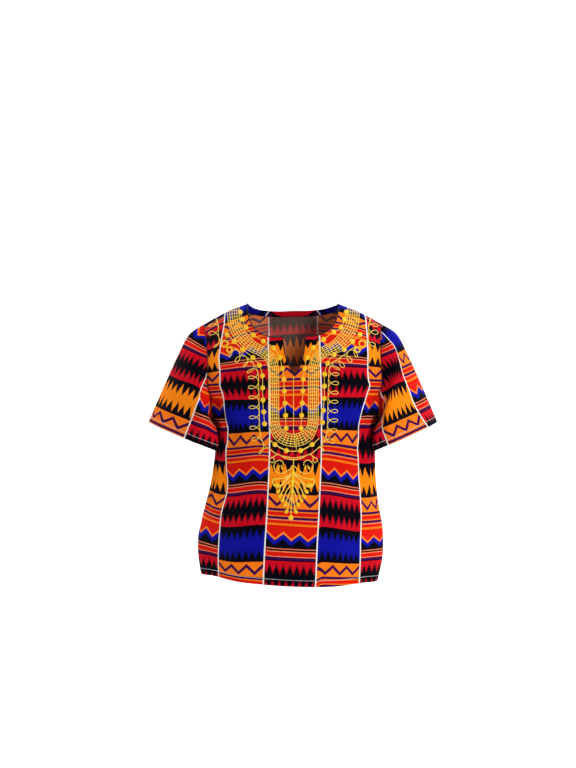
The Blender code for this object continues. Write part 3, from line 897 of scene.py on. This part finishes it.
def left_of(x, z):
    """Unit steps to the left of a chart line."""
    tx, tz = np.gradient(x), np.gradient(z)
    size = np.hypot(tx, tz)
    return -tz / size, tx / size


def beside_path(x, z, offset):
    """The line that runs beside a chart line, at an offset to its left."""
    nx, nz = left_of(x, z)
    return x + nx * offset, z + nz * offset


# The embroidery's chart, for its right side: each stop is a place across and a level
CHART_MIDDLE = 0.0006

# Further out the chart leans with the cloth
CHART_TILT = 0.07
TILT_START = 0.030
TILT_END = 0.066

# A ladder of threads round the neck and down to a bend, with its half width
LATTICE = [
    (0.0980, -0.0080), (0.0960, -0.0256), (0.0932, -0.0391), (0.0869, -0.0511),
    (0.0767, -0.0626), (0.0640, -0.0711), (0.0514, -0.0779), (0.0412, -0.0857),
    (0.0347, -0.0948), (0.0318, -0.1071), (0.0312, -0.1257), (0.0311, -0.1568),
    (0.0308, -0.1886), (0.0296, -0.1978), (0.0258, -0.2065), (0.0188, -0.2140),
    (0.0090, -0.2187), (0.0000, -0.2201),
]
LADDER_THREADS = 6
LADDER_HALF = 0.0078
LADDER_WIDER = 0.22
LADDER_WIDE_ABOVE, LADDER_WIDENS_OVER = -0.085, 0.03
LADDER_WIDE_BELOW, LADDER_BENDS_OVER = -0.200, 0.015
LADDER_STEP = 0.0054
LADDER_THREAD = 0.0012
CROSS_HEIGHT = THREAD_HEIGHT * 0.8

# A line with small loops on its outer side, in two runs
SHOULDER_LOOPS = [
    (0.1280, -0.0215), (0.1235, -0.0290), (0.1205, -0.0400), (0.1205, -0.0500),
    (0.1185, -0.0593), (0.1130, -0.0680),
]
LOOP_LINE = [
    (0.1000, -0.0722), (0.0900, -0.0775), (0.0838, -0.0831), (0.0756, -0.0888),
    (0.0679, -0.0944), (0.0614, -0.1004), (0.0566, -0.1093), (0.0551, -0.1207),
    (0.0549, -0.1335), (0.0539, -0.1573), (0.0534, -0.1806), (0.0529, -0.1997),
    (0.0509, -0.2133), (0.0467, -0.2245), (0.0405, -0.2322),
]
LOOP_PITCH = {-1: 0.0158, 1: 0.0146}
LOOP_REACH = 0.0160
LOOP_CURL = 0.0058
LOOP_THREAD = 0.0012
LOOP_FADE = 0.006
LOOP_STEP = 0.0008
SHOULDER_LOOP, FIRST_LOOP = 0.014, 0.022

# Rows of dots, joined by a low thread
JOIN_HEIGHT = THREAD_HEIGHT * 0.7
OUTER_DOTS = [
    (0.1060, -0.0532), (0.0939, -0.0646), (0.0803, -0.0774), (0.0640, -0.0880),
    (0.0538, -0.1010), (0.0490, -0.1177), (0.0485, -0.1366), (0.0480, -0.1558),
    (0.0468, -0.1745), (0.0453, -0.1932),
]
INNER_DOTS = [
    (0.0854, -0.0160), (0.0819, -0.0286), (0.0755, -0.0421), (0.0639, -0.0517),
    (0.0476, -0.0628), (0.0316, -0.0745), (0.0216, -0.0904), (0.0176, -0.1078),
    (0.0152, -0.1244), (0.0146, -0.1429), (0.0135, -0.1619), (0.0126, -0.1810),
    (0.0117, -0.2012),
]
LOWER_DOTS = [(0.0290, -0.2266), (0.0112, -0.2360)]

# Satin rings at the shoulder, with their radius
RINGLETS = [(0.1095, -0.0681, 0.0052), (0.1017, -0.0775, 0.0040)]
RINGLET_WIDTH = 0.0026
RINGLET_STEPS = 40

# Threads down the middle
MIDDLE_THREADS = [
    ([CHART_MIDDLE, CHART_MIDDLE], [-0.1200, -0.2100]),
    ([CHART_MIDDLE, 0.0048, 0.0050], [-0.2090, -0.2160, -0.2370]),
]

# A drop of satin stitches: its size at the tips, how high it rises, and the powers
# that move its fullest place to its end and round it
DROP_STEPS = 14
TIP_WIDTH, TIP_HEIGHT = 0.0006, 0.0004
DROP_HEIGHT = DOT_HEIGHT * 1.3
DROP_LOW, DROP_FULL = 1.5, 0.75

# Threads and scrolls under the bend. A drop has two places and a width.
SWAGS = [
    [(0.0400, -0.2170), (0.0290, -0.2266), (0.0195, -0.2326), (0.0112, -0.2360), (0.0, -0.2372)],
    [(0.0405, -0.2300), (0.0305, -0.2389), (0.0172, -0.2446), (0.0, -0.2479)],
    [
        *((0.0310, -0.2462), (0.0360, -0.2480), (0.0375, -0.2520), (0.0335, -0.2550)),
        *((0.0300, -0.2520), (0.0310, -0.2470), (0.0270, -0.2425), (0.0215, -0.2430)),
        *((0.0130, -0.2478), (0.0000, -0.2508)),
    ],
    [
        *((0.0000, -0.2590), (0.0070, -0.2660), (0.0165, -0.2715), (0.0255, -0.2700)),
        *((0.0305, -0.2630), (0.0285, -0.2545), (0.0220, -0.2510), (0.0165, -0.2545)),
        (0.0160, -0.2600),
    ],
]
SWAG_DROPS = [(0.0215, -0.2585, 0.0255, -0.2660, 0.0030), (0.0195, -0.2585, 0.0170, -0.2655, 0.0026)]

# The pendant: its stem with drops on it, given by their two levels and width, and
# each pair of drops with the branch that bears it: where the branch leaves the
# stem, where it ends, and its bow
PENDANT = [
    (0.0000, -0.2479), (-0.0003, -0.2589), (-0.0012, -0.2816), (-0.0022, -0.3051),
    (-0.0036, -0.3251), (-0.0042, -0.3363),
]
STEM_DROPS = [(-0.2600, -0.2780, 0.0048), (-0.2720, -0.2920, 0.0056), (-0.2860, -0.3080, 0.0040)]
Branch = namedtuple("Branch", "start x z bow")
BRANCHES = [
    (-0.2750, 0.0215, -0.2985, 0.0062), (-0.2820, 0.0185, -0.3060, 0.0056),
    (-0.2885, 0.0140, -0.3120, 0.0044), (-0.2950, 0.0095, -0.3190, 0.0032),
    (-0.3070, 0.0066, -0.3295, 0.0020),
]
BRANCH_WIDTH = 0.0018
BRANCH_STEPS = 24
BRANCH_DROP = (-0.0028, 0.0036, 0.0030, -0.0046, 0.0056)
PENDANT_LEAF = [
    *((0.0000, -0.2690), (0.0080, -0.2750), (0.0170, -0.2790), (0.0260, -0.2800)),
    *((0.0320, -0.2805), (0.0325, -0.2860), (0.0290, -0.2920), (0.0220, -0.2925)),
    *((0.0150, -0.2865), (0.0075, -0.2785), (0.0000, -0.2710)),
]
LEAF_MIDDLE = CHART_MIDDLE - 0.001
LEAF_DROPS = [(0.0170, -0.2905, 0.0310, -0.2890, 0.0060), (0.0205, -0.2800, 0.0315, -0.2815, 0.0034)]
LAST_DOT, LAST_DOT_RADIUS = -0.3405, DOT_RADIUS * 1.02


def arm(stops, side):
    """Places on one side of the chart."""
    x, z = np.array(stops).T
    tilt = np.where(x < TILT_END, CHART_TILT * np.maximum(x - TILT_START, 0.0), 0.0)
    return CHART_MIDDLE + side * x, z + side * tilt


def ladder(threads):
    """Parallel threads with cross threads."""
    x, z = arm(LATTICE, -1)
    x = np.concatenate([x, 2 * CHART_MIDDLE - x[-2::-1]])
    px, pz, at = smooth_path(x, np.concatenate([z, z[-2::-1]]))
    spread = smooth((pz - LADDER_WIDE_ABOVE) / LADDER_WIDENS_OVER)
    spread = spread + smooth((LADDER_WIDE_BELOW - pz) / LADDER_BENDS_OVER)
    half = LADDER_HALF * (1.0 + LADDER_WIDER * spread)
    for share in np.linspace(-1.0, 1.0, LADDER_THREADS):
        threads.chart_strand(*beside_path(px, pz, share * half), LADDER_THREAD)
    low, high = beside_path(px, pz, -half), beside_path(px, pz, half)
    for place in np.arange(LADDER_STEP, at[-1] - LADDER_STEP / 2, LADDER_STEP):
        ends = [np.interp(place, at, column) for column in (low[0], high[0], low[1], high[1])]
        threads.chart_strand(ends[:2], ends[2:], LADDER_THREAD, CROSS_HEIGHT)


def looped_line(threads, stops, side, start):
    """A line with small loops on its outer side, the first one at start."""
    px, pz, at = smooth_path(*arm(stops, side))
    threads.chart_strand(px, pz, FINE_THREAD)
    turn = (at - start) / LOOP_PITCH[side] * 2 * math.pi + math.pi
    fade = smooth(at / LOOP_FADE) * smooth((at[-1] - at) / LOOP_FADE)
    back = at + LOOP_CURL * np.sin(turn) * fade
    out = side * LOOP_REACH / 2 * (1.0 - np.cos(turn)) * fade
    bx, bz, nx, nz = (np.interp(back, at, line) for line in (px, pz, *left_of(px, pz)))
    threads.chart_strand(bx + nx * out, bz + nz * out, LOOP_THREAD, step=LOOP_STEP)


def dots(satin, lines, stops, side):
    """Rounds in a row, joined by a thread."""
    x, z = arm(stops, side)
    for place in zip(x, z):
        satin.dot(*place)
    px, pz, _ = smooth_path(x, z)
    lines.chart_strand(px, pz, FINE_THREAD, JOIN_HEIGHT)


def curve(threads, side, stops, width=THREAD_WIDTH):
    """A thread through a few chart places, given for the right side."""
    x, z = np.array(stops).T
    px, pz, _ = smooth_path(CHART_MIDDLE + side * x, z)
    threads.chart_strand(px, pz, width)


def ringlet(satin, x, z, radius):
    turns = np.linspace(0.0, 2 * math.pi, RINGLET_STEPS, endpoint=False)
    points, normals = on_front(x + radius * np.cos(turns), z + radius * np.sin(turns))
    satin.strand(points, normals, RINGLET_WIDTH, DOT_HEIGHT, closed=True)


def drop(satin, x0, z0, x1, z1, width):
    """A drop of satin stitches between two chart places, fuller at its end."""
    share = np.linspace(0.0, 1.0, DROP_STEPS)
    points, normals = on_front(mix(x0, x1, share), mix(z0, z1, share))
    fat = np.sin(math.pi * share**DROP_LOW) ** DROP_FULL
    satin.strand(points, normals, TIP_WIDTH + width * fat, TIP_HEIGHT + DROP_HEIGHT * fat)


def side_drops(satin, middle, side, drops):
    """Drops given for the right side."""
    for x0, z0, x1, z1, width in drops:
        drop(satin, middle + side * x0, z0, middle + side * x1, z1, width)


def pendant(lines, satin):
    """A stem with bowed branches that end in drops."""
    x, z = np.array(PENDANT).T
    px, pz, _ = smooth_path(x + CHART_MIDDLE, z)
    lines.chart_strand(px, pz, THREAD_WIDTH)

    def stem(level):
        return float(np.interp(-level, -pz, px))

    for low, high, width in STEM_DROPS:
        drop(satin, stem(low), low, stem(high), high, width)
    share = np.linspace(0.0, 1.0, BRANCH_STEPS)
    x0, z0, x1, z1, width = BRANCH_DROP
    for side in (-1, 1):
        for branch in (Branch(*row) for row in BRANCHES):
            end = stem(branch.z) + side * branch.x
            bx = mix(stem(branch.start), end, share)
            bz = mix(branch.start, branch.z, share) + branch.bow * np.sin(math.pi * share)
            lines.chart_strand(bx, bz, BRANCH_WIDTH)
            side_drops(satin, end, side, [(x0, branch.z + z0, x1, branch.z + z1, width)])
        curve(lines, side, PENDANT_LEAF, BRANCH_WIDTH)
        side_drops(satin, LEAF_MIDDLE, side, LEAF_DROPS)
    satin.dot(stem(PENDANT[-1][1]), LAST_DOT, LAST_DOT_RADIUS)


def embroidery():
    """The neckline's embroidery: its threads, and its satin stitches."""
    lines, satin = Threads(), Threads()
    ladder(lines)
    for side in (-1, 1):
        looped_line(lines, SHOULDER_LOOPS, side, SHOULDER_LOOP)
        looped_line(lines, LOOP_LINE, side, FIRST_LOOP)
        for stops in (OUTER_DOTS, INNER_DOTS, LOWER_DOTS):
            dots(satin, lines, stops, side)
        for x, z, radius in RINGLETS:
            ringlet(satin, CHART_MIDDLE + side * x, z, radius)
        for stops in SWAGS:
            curve(lines, side, stops)
        side_drops(satin, CHART_MIDDLE, side, SWAG_DROPS)
    for x, z in MIDDLE_THREADS:
        lines.chart_strand(x, z, FINE_THREAD)
    pendant(lines, satin)
    return lines, satin


# The thread that edges neck and slit: partly a dark thread, partly painted shade along the turned edge
EDGE_THREAD = 0.0017
EDGE_SINK = 0.0006
NECK_STEPS, SLIT_STEPS = 120, 80

# A running stitch: how long it shows, and its highest and deepest place
STITCH = 0.0030
STITCH_STEPS = 6
STITCH_WIDTH = 0.00055
STITCH_HEIGHT = 0.0005
STITCH_SHOWS = 0.35
STITCH_DEEPEST, STITCH_HIGHEST = -0.9, 0.5

# Where the stitch lines end, in degrees, and how many points they have
HEM_LINE_END, HEM_POINTS = 89.0, 500
CUFF_LINE_END, CUFF_POINTS = 176.0, 361
CUFF_LINE = 0.06


def neck_edge(threads, facing):
    """The thread that edges the neckline and, in front, the slit. Its dark colour is partly the thread's
    own and partly painted shade along the turned edge.
    """
    share = np.linspace(1.0, 0.0, NECK_STEPS)
    rise, angle = panel_place(np.full_like(share, ROWS), share, facing)
    if facing < 0:
        row = np.linspace(ROWS, SLIT_ROW, SLIT_STEPS)[1:]
        slit = panel_place(row, np.zeros_like(row), facing)
        rise, angle = np.concatenate([rise, slit[0]]), np.concatenate([angle, slit[1]])
    for side in (-1, 1):
        normals = outward(rise, side * angle, facing, cloth_point)
        points = cloth_point(rise, side * angle, facing) - normals * EDGE_SINK
        threads.strand(points, normals, EDGE_THREAD, EDGE_THREAD)


def stitch_line(threads, points, normals):
    """A running stitch: the thread shows for most of each stitch and then dips in."""
    run = lengths_along(points)
    at = np.linspace(0.0, run[-1], int(run[-1] / STITCH) * STITCH_STEPS + 1)
    columns = [np.interp(at, run, column) for column in (*points.T, *normals.T)]
    points, normals = np.stack(columns[:3], axis=-1), unit(np.stack(columns[3:], axis=-1))
    wave = np.cos(at / STITCH * 2 * math.pi) + STITCH_SHOWS
    lift = np.clip(wave, STITCH_DEEPEST, STITCH_HIGHEST) * STITCH_HEIGHT
    threads.strand(points + normals * lift[:, None], normals, STITCH_WIDTH, STITCH_HEIGHT)


def hem_stitches(threads, facing):
    angle = np.linspace(-HEM_LINE_END, HEM_LINE_END, HEM_POINTS)
    rise = np.full_like(angle, HEM_TURN)
    normals = outward(rise, angle, facing, cloth_point)
    stitch_line(threads, cloth_point(rise, angle, facing), normals)


def cuff_stitches(threads, side):
    turns = np.linspace(-CUFF_LINE_END, CUFF_LINE_END, CUFF_POINTS)
    up = sleeve_point(1.0 - CUFF_LINE, turns, side) - sleeve_point(1.0, turns, side)
    length = np.linalg.norm(up, axis=-1)
    line = sleeve_point(1.0 - CUFF_LINE * HEM_TURN / length, turns, side)
    normals = unit(np.cross(unit(up), np.gradient(line, axis=0))) * side
    stitch_line(threads, line, normals)


# ---- node maths


class Graph:
    """A material, with short-hand for building it out of nodes."""

    def __init__(self, name):
        self.material = bpy.data.materials.new(name)
        self.material.use_nodes = True
        self.tree = self.material.node_tree
        self.shader = self.tree.nodes["Principled BSDF"]

    def put(self, socket, value):
        """Gives a socket its value, or links it."""
        if isinstance(value, Term):
            value = value.socket
        if isinstance(value, bpy.types.NodeSocket):
            self.tree.links.new(value, socket)
        else:
            socket.default_value = value

    def node(self, kind, inputs, **settings):
        made = self.tree.nodes.new(kind)
        for key, value in settings.items():
            setattr(made, key, value)
        for key, value in inputs.items():
            self.put(made.inputs[key], value)
        return made

    def maths(self, operation, *values):
        made = self.node("ShaderNodeMath", dict(enumerate(values)), operation=operation)
        return Term(self, made.outputs[0])

    def blend(self, share, under, over, how="MIX"):
        """The colour under, with the colour over laid on it where share is 1."""
        inputs = {0: share, 6: under, 7: over}
        return self.node("ShaderNodeMix", inputs, data_type="RGBA", blend_type=how).outputs[2]

    def noise(self, place, scale, detail=2.0, dimensions="2D"):
        inputs = {"Vector": place, "Scale": scale, "Detail": detail}
        made = self.node("ShaderNodeTexNoise", inputs, noise_dimensions=dimensions)
        return Term(self, made.outputs[0])

    def cloth_place(self, layer):
        """The place on the cloth, whole and in its two parts."""
        place = self.node("ShaderNodeUVMap", {}, uv_map=layer).outputs[0]
        parts = self.node("ShaderNodeSeparateXYZ", {0: place}).outputs
        return place, Term(self, parts[0]), Term(self, parts[1])

    def finish(self, colour, relief=None, **values):
        """Sets the shader: its colour, a relief as height, strength and depth, and values."""
        self.put(self.shader.inputs["Base Color"], colour)
        if relief:
            inputs = dict(zip(("Height", "Strength", "Distance"), relief))
            self.put(self.shader.inputs["Normal"], self.node("ShaderNodeBump", inputs).outputs[0])
        for key, value in values.items():
            self.put(self.shader.inputs[SHADER_NAMES[key]], value)
        return self.material


SHADER_NAMES = {
    "roughness": "Roughness",
    "specular": "Specular IOR Level",
    "sheen": "Sheen Weight",
    "sheen_roughness": "Sheen Roughness",
}


def sign(operation, swapped=False):
    """A method that adds the maths node of an arithmetic sign."""

    def method(self, other):
        values = (other, self) if swapped else (self, other)
        return self.graph.maths(operation, *values)

    return method


class Term:
    """A number in a node tree, so that sums can be written as sums."""

    __add__, __radd__ = sign("ADD"), sign("ADD", True)
    __sub__, __rsub__ = sign("SUBTRACT"), sign("SUBTRACT", True)
    __mul__, __rmul__ = sign("MULTIPLY"), sign("MULTIPLY", True)
    __truediv__ = sign("DIVIDE")

    def __init__(self, graph, socket):
        self.graph, self.socket = graph, socket

    def __abs__(self):
        return self.graph.maths("ABSOLUTE", self)

    def fraction(self):
        return self.graph.maths("FRACT", self)

    def whole(self):
        return self.graph.maths("FLOOR", self)

    def above(self, edge, softness):
        """0 below the edge and 1 above it, over a soft step."""
        return ((self - edge) / softness + 0.5).held()

    def held(self):
        """The number, held between 0 and 1."""
        made = self + 0.0
        made.socket.node.use_clamp = True
        return made

    def zigzag(self, period):
        """A triangle wave from 0 to 1."""
        return abs((self / period).fraction() * 2.0 - 1.0)


def rgb(red, green, blue):
    """A colour given as on screen, for the shader."""
    linear = [((c + 0.055) / 1.055) ** 2.4 if c > 0.04045 else c / 12.92 for c in (red, green, blue)]
    return (*linear, 1.0)


# Dyes of the print, and threads
RED = rgb(0.850, 0.090, 0.035)
CRIMSON = rgb(0.790, 0.035, 0.125)
ORANGE = rgb(0.970, 0.475, 0.075)
AMBER = rgb(0.985, 0.525, 0.040)
CORAL = rgb(0.960, 0.500, 0.340)
PURPLE = rgb(0.220, 0.024, 0.280)
BLUE = rgb(0.055, 0.070, 0.600)
BLACK = rgb(0.016, 0.014, 0.054)
WHITE = rgb(0.960, 0.940, 0.915)
REVERSE = rgb(0.780, 0.660, 0.600)
GOLD = rgb(0.995, 0.770, 0.150)
CREAM = rgb(1.000, 0.890, 0.430)
SATIN = rgb(0.970, 0.780, 0.090)
# The edge thread's dark colour is partly dye and partly painted shade along the turned neck and slit
# edge
EDGE_DYE_AND_SHADE = rgb(0.07, 0.05, 0.09)
PALE, PALER = rgb(0.80, 0.78, 0.80), rgb(0.92, 0.90, 0.90)
FLOOR_LIGHT, FLOOR_DARK = rgb(0.955, 0.955, 0.955), rgb(0.93, 0.93, 0.935)

# Plain stripes of the print, as shares of the repeat down the cloth
STRIPES = [
    (0.500, 0.609, ORANGE), (0.609, 0.628, PURPLE), (0.628, 0.637, ORANGE),
    (0.637, 0.663, RED), (0.663, 0.672, ORANGE), (0.672, 0.691, PURPLE),
    (0.691, 0.700, CORAL), (0.700, 0.722, RED), (0.722, 0.738, ORANGE),
    (0.906, 0.914, CORAL), (0.926, 0.935, CORAL), (0.935, 0.964, RED),
    (0.964, 0.971, CORAL), (0.972, 0.992, PURPLE),
]

# The other bands, in the same shares: the sawtooth, the ikat spikes and the two zigzags
LINE_SOFT = 0.004
UPPER_TEETH, LOWER_TEETH, TOOTH_LENGTH, TOOTH_SOFT = 0.024, 0.214, 0.064, 0.036
GROUND_TOP, SPIKES_TOP, SPIKES_MIDDLE = 0.236, 0.245, 0.373
Spikes = namedtuple("Spikes", "long second reach softness")
AMBER_SPIKES = Spikes(0.080, 0.018, 0.116, 0.006)
BLUE_SPIKES = Spikes(0.066, 0.006, 0.109, 0.024)
PURPLE_LINE, PURPLE_PEAK, PURPLE_HALF = 0.528, 0.056, 0.0145
FIELD_TOP, FIELD_EDGE, FIELD_PEAK, FIELD_END = 0.738, 0.782, 0.050, 0.906
FIELD_SOFT, FIELD_BORDERS = 0.003, ((0.018, BLUE), (0.056, BLACK))
GAP_TOP, GAP_END = 0.914, 0.926

# Widths of a tooth, a spike and a zigzag, and those of the spikes' second row
TEETH = STRIP / 7.7
SPIKES = STRIP / 7.6
ZIGZAG = STRIP / 3.15
SECOND_SPIKES = SPIKES * 1.62
SECOND_SHIFT = SPIKES * 0.37
DIVIDER_SOFT = 0.0006

# How the dye has bled, and how uneven it is
BLEED, BLEED_SCALE = 0.0045, 260.0
UNEVEN_SCALE, UNEVEN_DETAIL, UNEVEN_RANGE, UNEVEN_LEAST = 900.0, 3.0, 0.36, 0.80
REVERSE_SHARE = 0.22

# Blue spikes darken with their strands and towards their tips
DARK_SHIFT, DARK_STRANDS, DARK_REACH, DARK_FROM, DARK_MOST = 0.0011, 0.40, 5.0, 0.28, 0.75

# Yarns of the weave and strands of a thread, with the strength and depth of their relief
YARN, WEAVE_RELIEF = 0.00048, (0.35, 0.00025)
STRAND, STRAND_SLANT, STRAND_RELIEF = 0.00055, 0.8, (0.6, 0.0002)
SHINE_SCALE, SHINE_RANGE, SHINE_START, SHINE_STRANDS = 320.0, 1.2, 0.2, 0.25


def strip_print(graph, place, across, along):
    """The colour of the print at a place of the cloth."""
    column = (across / STRIP + 0.5).whole()
    beside = across - column * STRIP
    odd = abs((column / 2.0).fraction() * 2.0)
    start = odd * (SHIFTED_START - STRIP_START) + STRIP_START
    bleed = (graph.noise(place, BLEED_SCALE) - 0.5) * BLEED
    down = ((start - along) / REPEAT + bleed).fraction()

    def band(first, last, softness=LINE_SOFT):
        return down.above(first, softness) * (1.0 - down.above(last, softness))

    # Sawtooth: crimson teeth from both sides into black
    tooth = (beside + TEETH / 2).zigzag(TEETH) * TOOTH_LENGTH
    lower_teeth = down.above(LOWER_TEETH - tooth, TOOTH_SOFT)
    black = down.above(UPPER_TEETH + tooth, TOOTH_SOFT) * (1.0 - lower_teeth)
    colour = graph.blend(black, CRIMSON, BLACK)
    # Ikat spikes on black, of two lengths: amber, or blue with darker tips
    colour = graph.blend(down.above(GROUND_TOP, LINE_SOFT), colour, BLACK)
    spikes = Spikes(*(odd * (blue - amber) + amber for amber, blue in zip(AMBER_SPIKES, BLUE_SPIKES)))
    length = beside.zigzag(SPIKES) * spikes.long
    length = length + (beside + SECOND_SHIFT).zigzag(SECOND_SPIKES) * spikes.second
    reach = abs(down - SPIKES_MIDDLE)
    lit = 1.0 - (reach + length).above(spikes.reach, spikes.softness)
    strands = (beside + DARK_SHIFT).zigzag(SPIKES / 2)
    dye = graph.blend(odd, AMBER, BLUE)
    dark = (strands * DARK_STRANDS + reach * DARK_REACH - DARK_FROM).held() * DARK_MOST
    dark_dye = graph.blend(dark, dye, BLACK)
    dye = graph.blend(odd, dye, dark_dye)
    colour = graph.blend(lit * down.above(SPIKES_TOP, LINE_SOFT), colour, dye)
    for first, last, stripe in STRIPES:
        colour = graph.blend(band(first, last), colour, stripe)
    # Purple zigzag line on the orange band
    peak = beside.zigzag(ZIGZAG)
    line = abs(down - (PURPLE_LINE + peak * PURPLE_PEAK))
    colour = graph.blend(1.0 - line.above(PURPLE_HALF, LINE_SOFT), colour, PURPLE)
    # Red field with a zigzag edge, an orange and a blue border and black beneath
    edge = down - (FIELD_EDGE + peak * FIELD_PEAK)
    field = graph.blend(edge.above(0.0, LINE_SOFT), RED, ORANGE)
    for place_down, border in FIELD_BORDERS:
        field = graph.blend(edge.above(place_down, LINE_SOFT), field, border)
    colour = graph.blend(band(FIELD_TOP, FIELD_END, FIELD_SOFT), colour, field)
    colour = graph.blend(band(GAP_TOP, GAP_END, FIELD_SOFT), colour, BLACK)
    # White lines between the strips
    white = 1.0 - (STRIP / 2 - abs(beside)).above(DIVIDER / 2, DIVIDER_SOFT)
    return graph.blend(white, colour, WHITE)


def cotton(name, inside):
    """Printed cotton, or its paler inner face."""
    graph = Graph(name)
    place, across, along = graph.cloth_place("cloth")
    colour = strip_print(graph, place, across, along)
    if inside:
        colour = graph.blend(REVERSE_SHARE, colour, REVERSE)
    uneven = graph.noise(place, UNEVEN_SCALE, UNEVEN_DETAIL) * UNEVEN_RANGE + UNEVEN_LEAST
    colour = graph.blend(1.0, colour, uneven, "MULTIPLY")
    # Plain weave: threads over and under
    warp, weft = across / YARN, along / YARN
    over = abs(((warp.whole() + weft.whole()) / 2.0).fraction() * 2.0)
    warp, weft = (0.5 - abs(yarn.fraction() - 0.5) for yarn in (warp, weft))
    weave = over * warp + (1.0 - over) * weft
    relief = (weave, *WEAVE_RELIEF)
    return graph.finish(colour, relief, roughness=0.85, specular=0.04, sheen=0.008, sheen_roughness=0.5)


def thread_cotton(name, colour, second, gloss):
    """Embroidery thread: fine diagonal strands and an uneven shine."""
    graph = Graph(name)
    place, along, beside = graph.cloth_place("thread")
    strands = (along + beside * STRAND_SLANT).zigzag(STRAND)
    shine = graph.noise(place, SHINE_SCALE) * SHINE_RANGE - SHINE_START
    colour = graph.blend((shine + strands * SHINE_STRANDS).held(), colour, second)
    return graph.finish(colour, (strands, *STRAND_RELIEF), roughness=gloss, specular=0.2)


# ---- stage

CAMERA_PLACE = (-0.008, -2.2, -0.132)
FRAME_HEIGHT = 1.252
WORLD_LIGHT = 0.10

# Soft lights: place, target, size and energy
LIGHTS = {
    "key": ((1.8, -2.8, 0.9), (0, 0, -0.2), (0.9, 0.9), 80),
    "fill": ((-1.9, -2.6, 0.3), (0, 0, -0.2), (1.6, 1.6), 4),
    "top": ((0.0, -0.2, 2.2), (0, 0, -0.2), (2.0, 1.2), 14),
    "backdrop_left": ((-2.4, 0.8, 1.6), (-0.6, 3.8, 0.0), (1.6, 1.6), 150),
    "backdrop_right": ((2.4, 0.8, 1.6), (0.6, 3.8, 0.0), (1.6, 1.6), 150),
}

# The floor sweeps up behind the shirt
FLOOR = -0.90
FLOOR_FRONT = -6.0
FLOOR_HALF_WIDTH = 7.0
SWEEP_START = 2.6
SWEEP_RADIUS = 1.2
SWEEP_STEPS = 16
GRAIN_SCALE, GRAIN_SHARE = 3.0, 0.3
WALL_TOP = 6.0


def light(name, place, target, size, energy):
    lamp = bpy.data.lights.new(name, "AREA")
    lamp.shape = "RECTANGLE"
    lamp.size, lamp.size_y = size
    lamp.energy = energy
    piece = placed(name, lamp)
    piece.location = place
    piece.rotation_euler = (Vector(target) - Vector(place)).to_track_quat("-Z", "Y").to_euler()


def camera():
    data = bpy.data.cameras.new("camera")
    data.sensor_fit = "VERTICAL"
    data.angle_y = 2 * math.atan(FRAME_HEIGHT / 2 / abs(CAMERA_PLACE[1]))
    piece = placed("camera", data)
    piece.location = CAMERA_PLACE
    piece.rotation_euler = (math.radians(90), 0, 0)
    bpy.context.scene.camera = piece


def studio():
    scene = bpy.context.scene
    scene.view_settings.view_transform = "Standard"
    world = bpy.data.worlds.new("studio")
    world.use_nodes = True
    sky = world.node_tree.nodes["Background"].inputs
    sky[0].default_value = (1.0, 1.0, 1.0, 1.0)
    sky[1].default_value = WORLD_LIGHT
    scene.world = world
    for name, settings in LIGHTS.items():
        light(name, *settings)


def backdrop():
    """A pale floor that sweeps up behind the shirt."""
    graph = Graph("pale_floor")
    place = graph.node("ShaderNodeTexCoord", {}).outputs["Object"]
    grain = graph.noise(place, GRAIN_SCALE, dimensions="3D") * GRAIN_SHARE
    material = graph.finish(graph.blend(grain, FLOOR_LIGHT, FLOOR_DARK), roughness=0.9)
    profile = [(FLOOR_FRONT, FLOOR)]
    for turn in np.radians(np.linspace(0.0, 90.0, SWEEP_STEPS + 1)):
        up = SWEEP_RADIUS * (1.0 - math.cos(turn))
        profile.append((SWEEP_START + SWEEP_RADIUS * math.sin(turn), FLOOR + up))
    profile.append((SWEEP_START + SWEEP_RADIUS, WALL_TOP))
    mesh = bpy.data.meshes.new("floor_sweep")
    points = [(x, y, z) for y, z in profile for x in (-FLOOR_HALF_WIDTH, FLOOR_HALF_WIDTH)]
    faces = [(2 * i, 2 * i + 1, 2 * i + 3, 2 * i + 2) for i in range(len(profile) - 1)]
    mesh.from_pydata(points, [], faces)
    mesh.shade_smooth()
    mesh.materials.append(material)
    placed("floor_sweep", mesh)


# ---- build

camera()
studio()
backdrop()
printed = [cotton("printed_cotton", False), cotton("printed_cotton_inside", True)]
sleeve_print = [cotton("sleeve_cotton_print", False), cotton("sleeve_cotton_inside", True)]
CLOTH_PIECES = {
    "front": body_panel("shirt_front", -1, printed),
    "back": body_panel("shirt_back", 1, printed),
    "sleeve_left": sleeve("left_sleeve", -1, LEFT_LINES, sleeve_print),
    "sleeve_right": sleeve("right_sleeve", 1, RIGHT_LINES, sleeve_print),
}

# A record for the slot, the flat size and the area of a piece of cloth as it was cut; no piece is given
# one
Cut = namedtuple("Cut", "slot flat area")
gold = thread_cotton("gold_thread", GOLD, CREAM, 0.5)
satin_gold = thread_cotton("satin_gold_thread", SATIN, GOLD, 0.42)
# Dark edge thread: partly its own dye, partly painted shade of the turned neck edge
dark_thread_and_edge_shade = thread_cotton("dark_edge_thread_and_shade", EDGE_DYE_AND_SHADE, BLACK, 0.7)
pale_thread = thread_cotton("pale_stitch_thread", PALE, PALER, 0.6)


def sewn(name, material, sew, *where):
    """A piece of stitching that one of the functions above sews."""
    threads = Threads()
    sew(threads, *where)
    return threads.build(name, material)


lines, satin = embroidery()
SEWN_ON = {
    "front": [
        lines.build("embroidery_threads", gold),
        satin.build("embroidery_satin", satin_gold),
        sewn("neck_edge_front", dark_thread_and_edge_shade, neck_edge, -1),
        sewn("hem_stitches_front", pale_thread, hem_stitches, -1),
    ],
    "back": [
        sewn("neck_edge_back", dark_thread_and_edge_shade, neck_edge, 1),
        sewn("hem_stitches_back", pale_thread, hem_stitches, 1),
    ],
    "sleeve_left": [sewn("cuff_stitches_left", pale_thread, cuff_stitches, -1)],
    "sleeve_right": [sewn("cuff_stitches_right", pale_thread, cuff_stitches, 1)],
}
for node, piece in CLOTH_PIECES.items():
    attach(piece, "root")
    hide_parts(node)
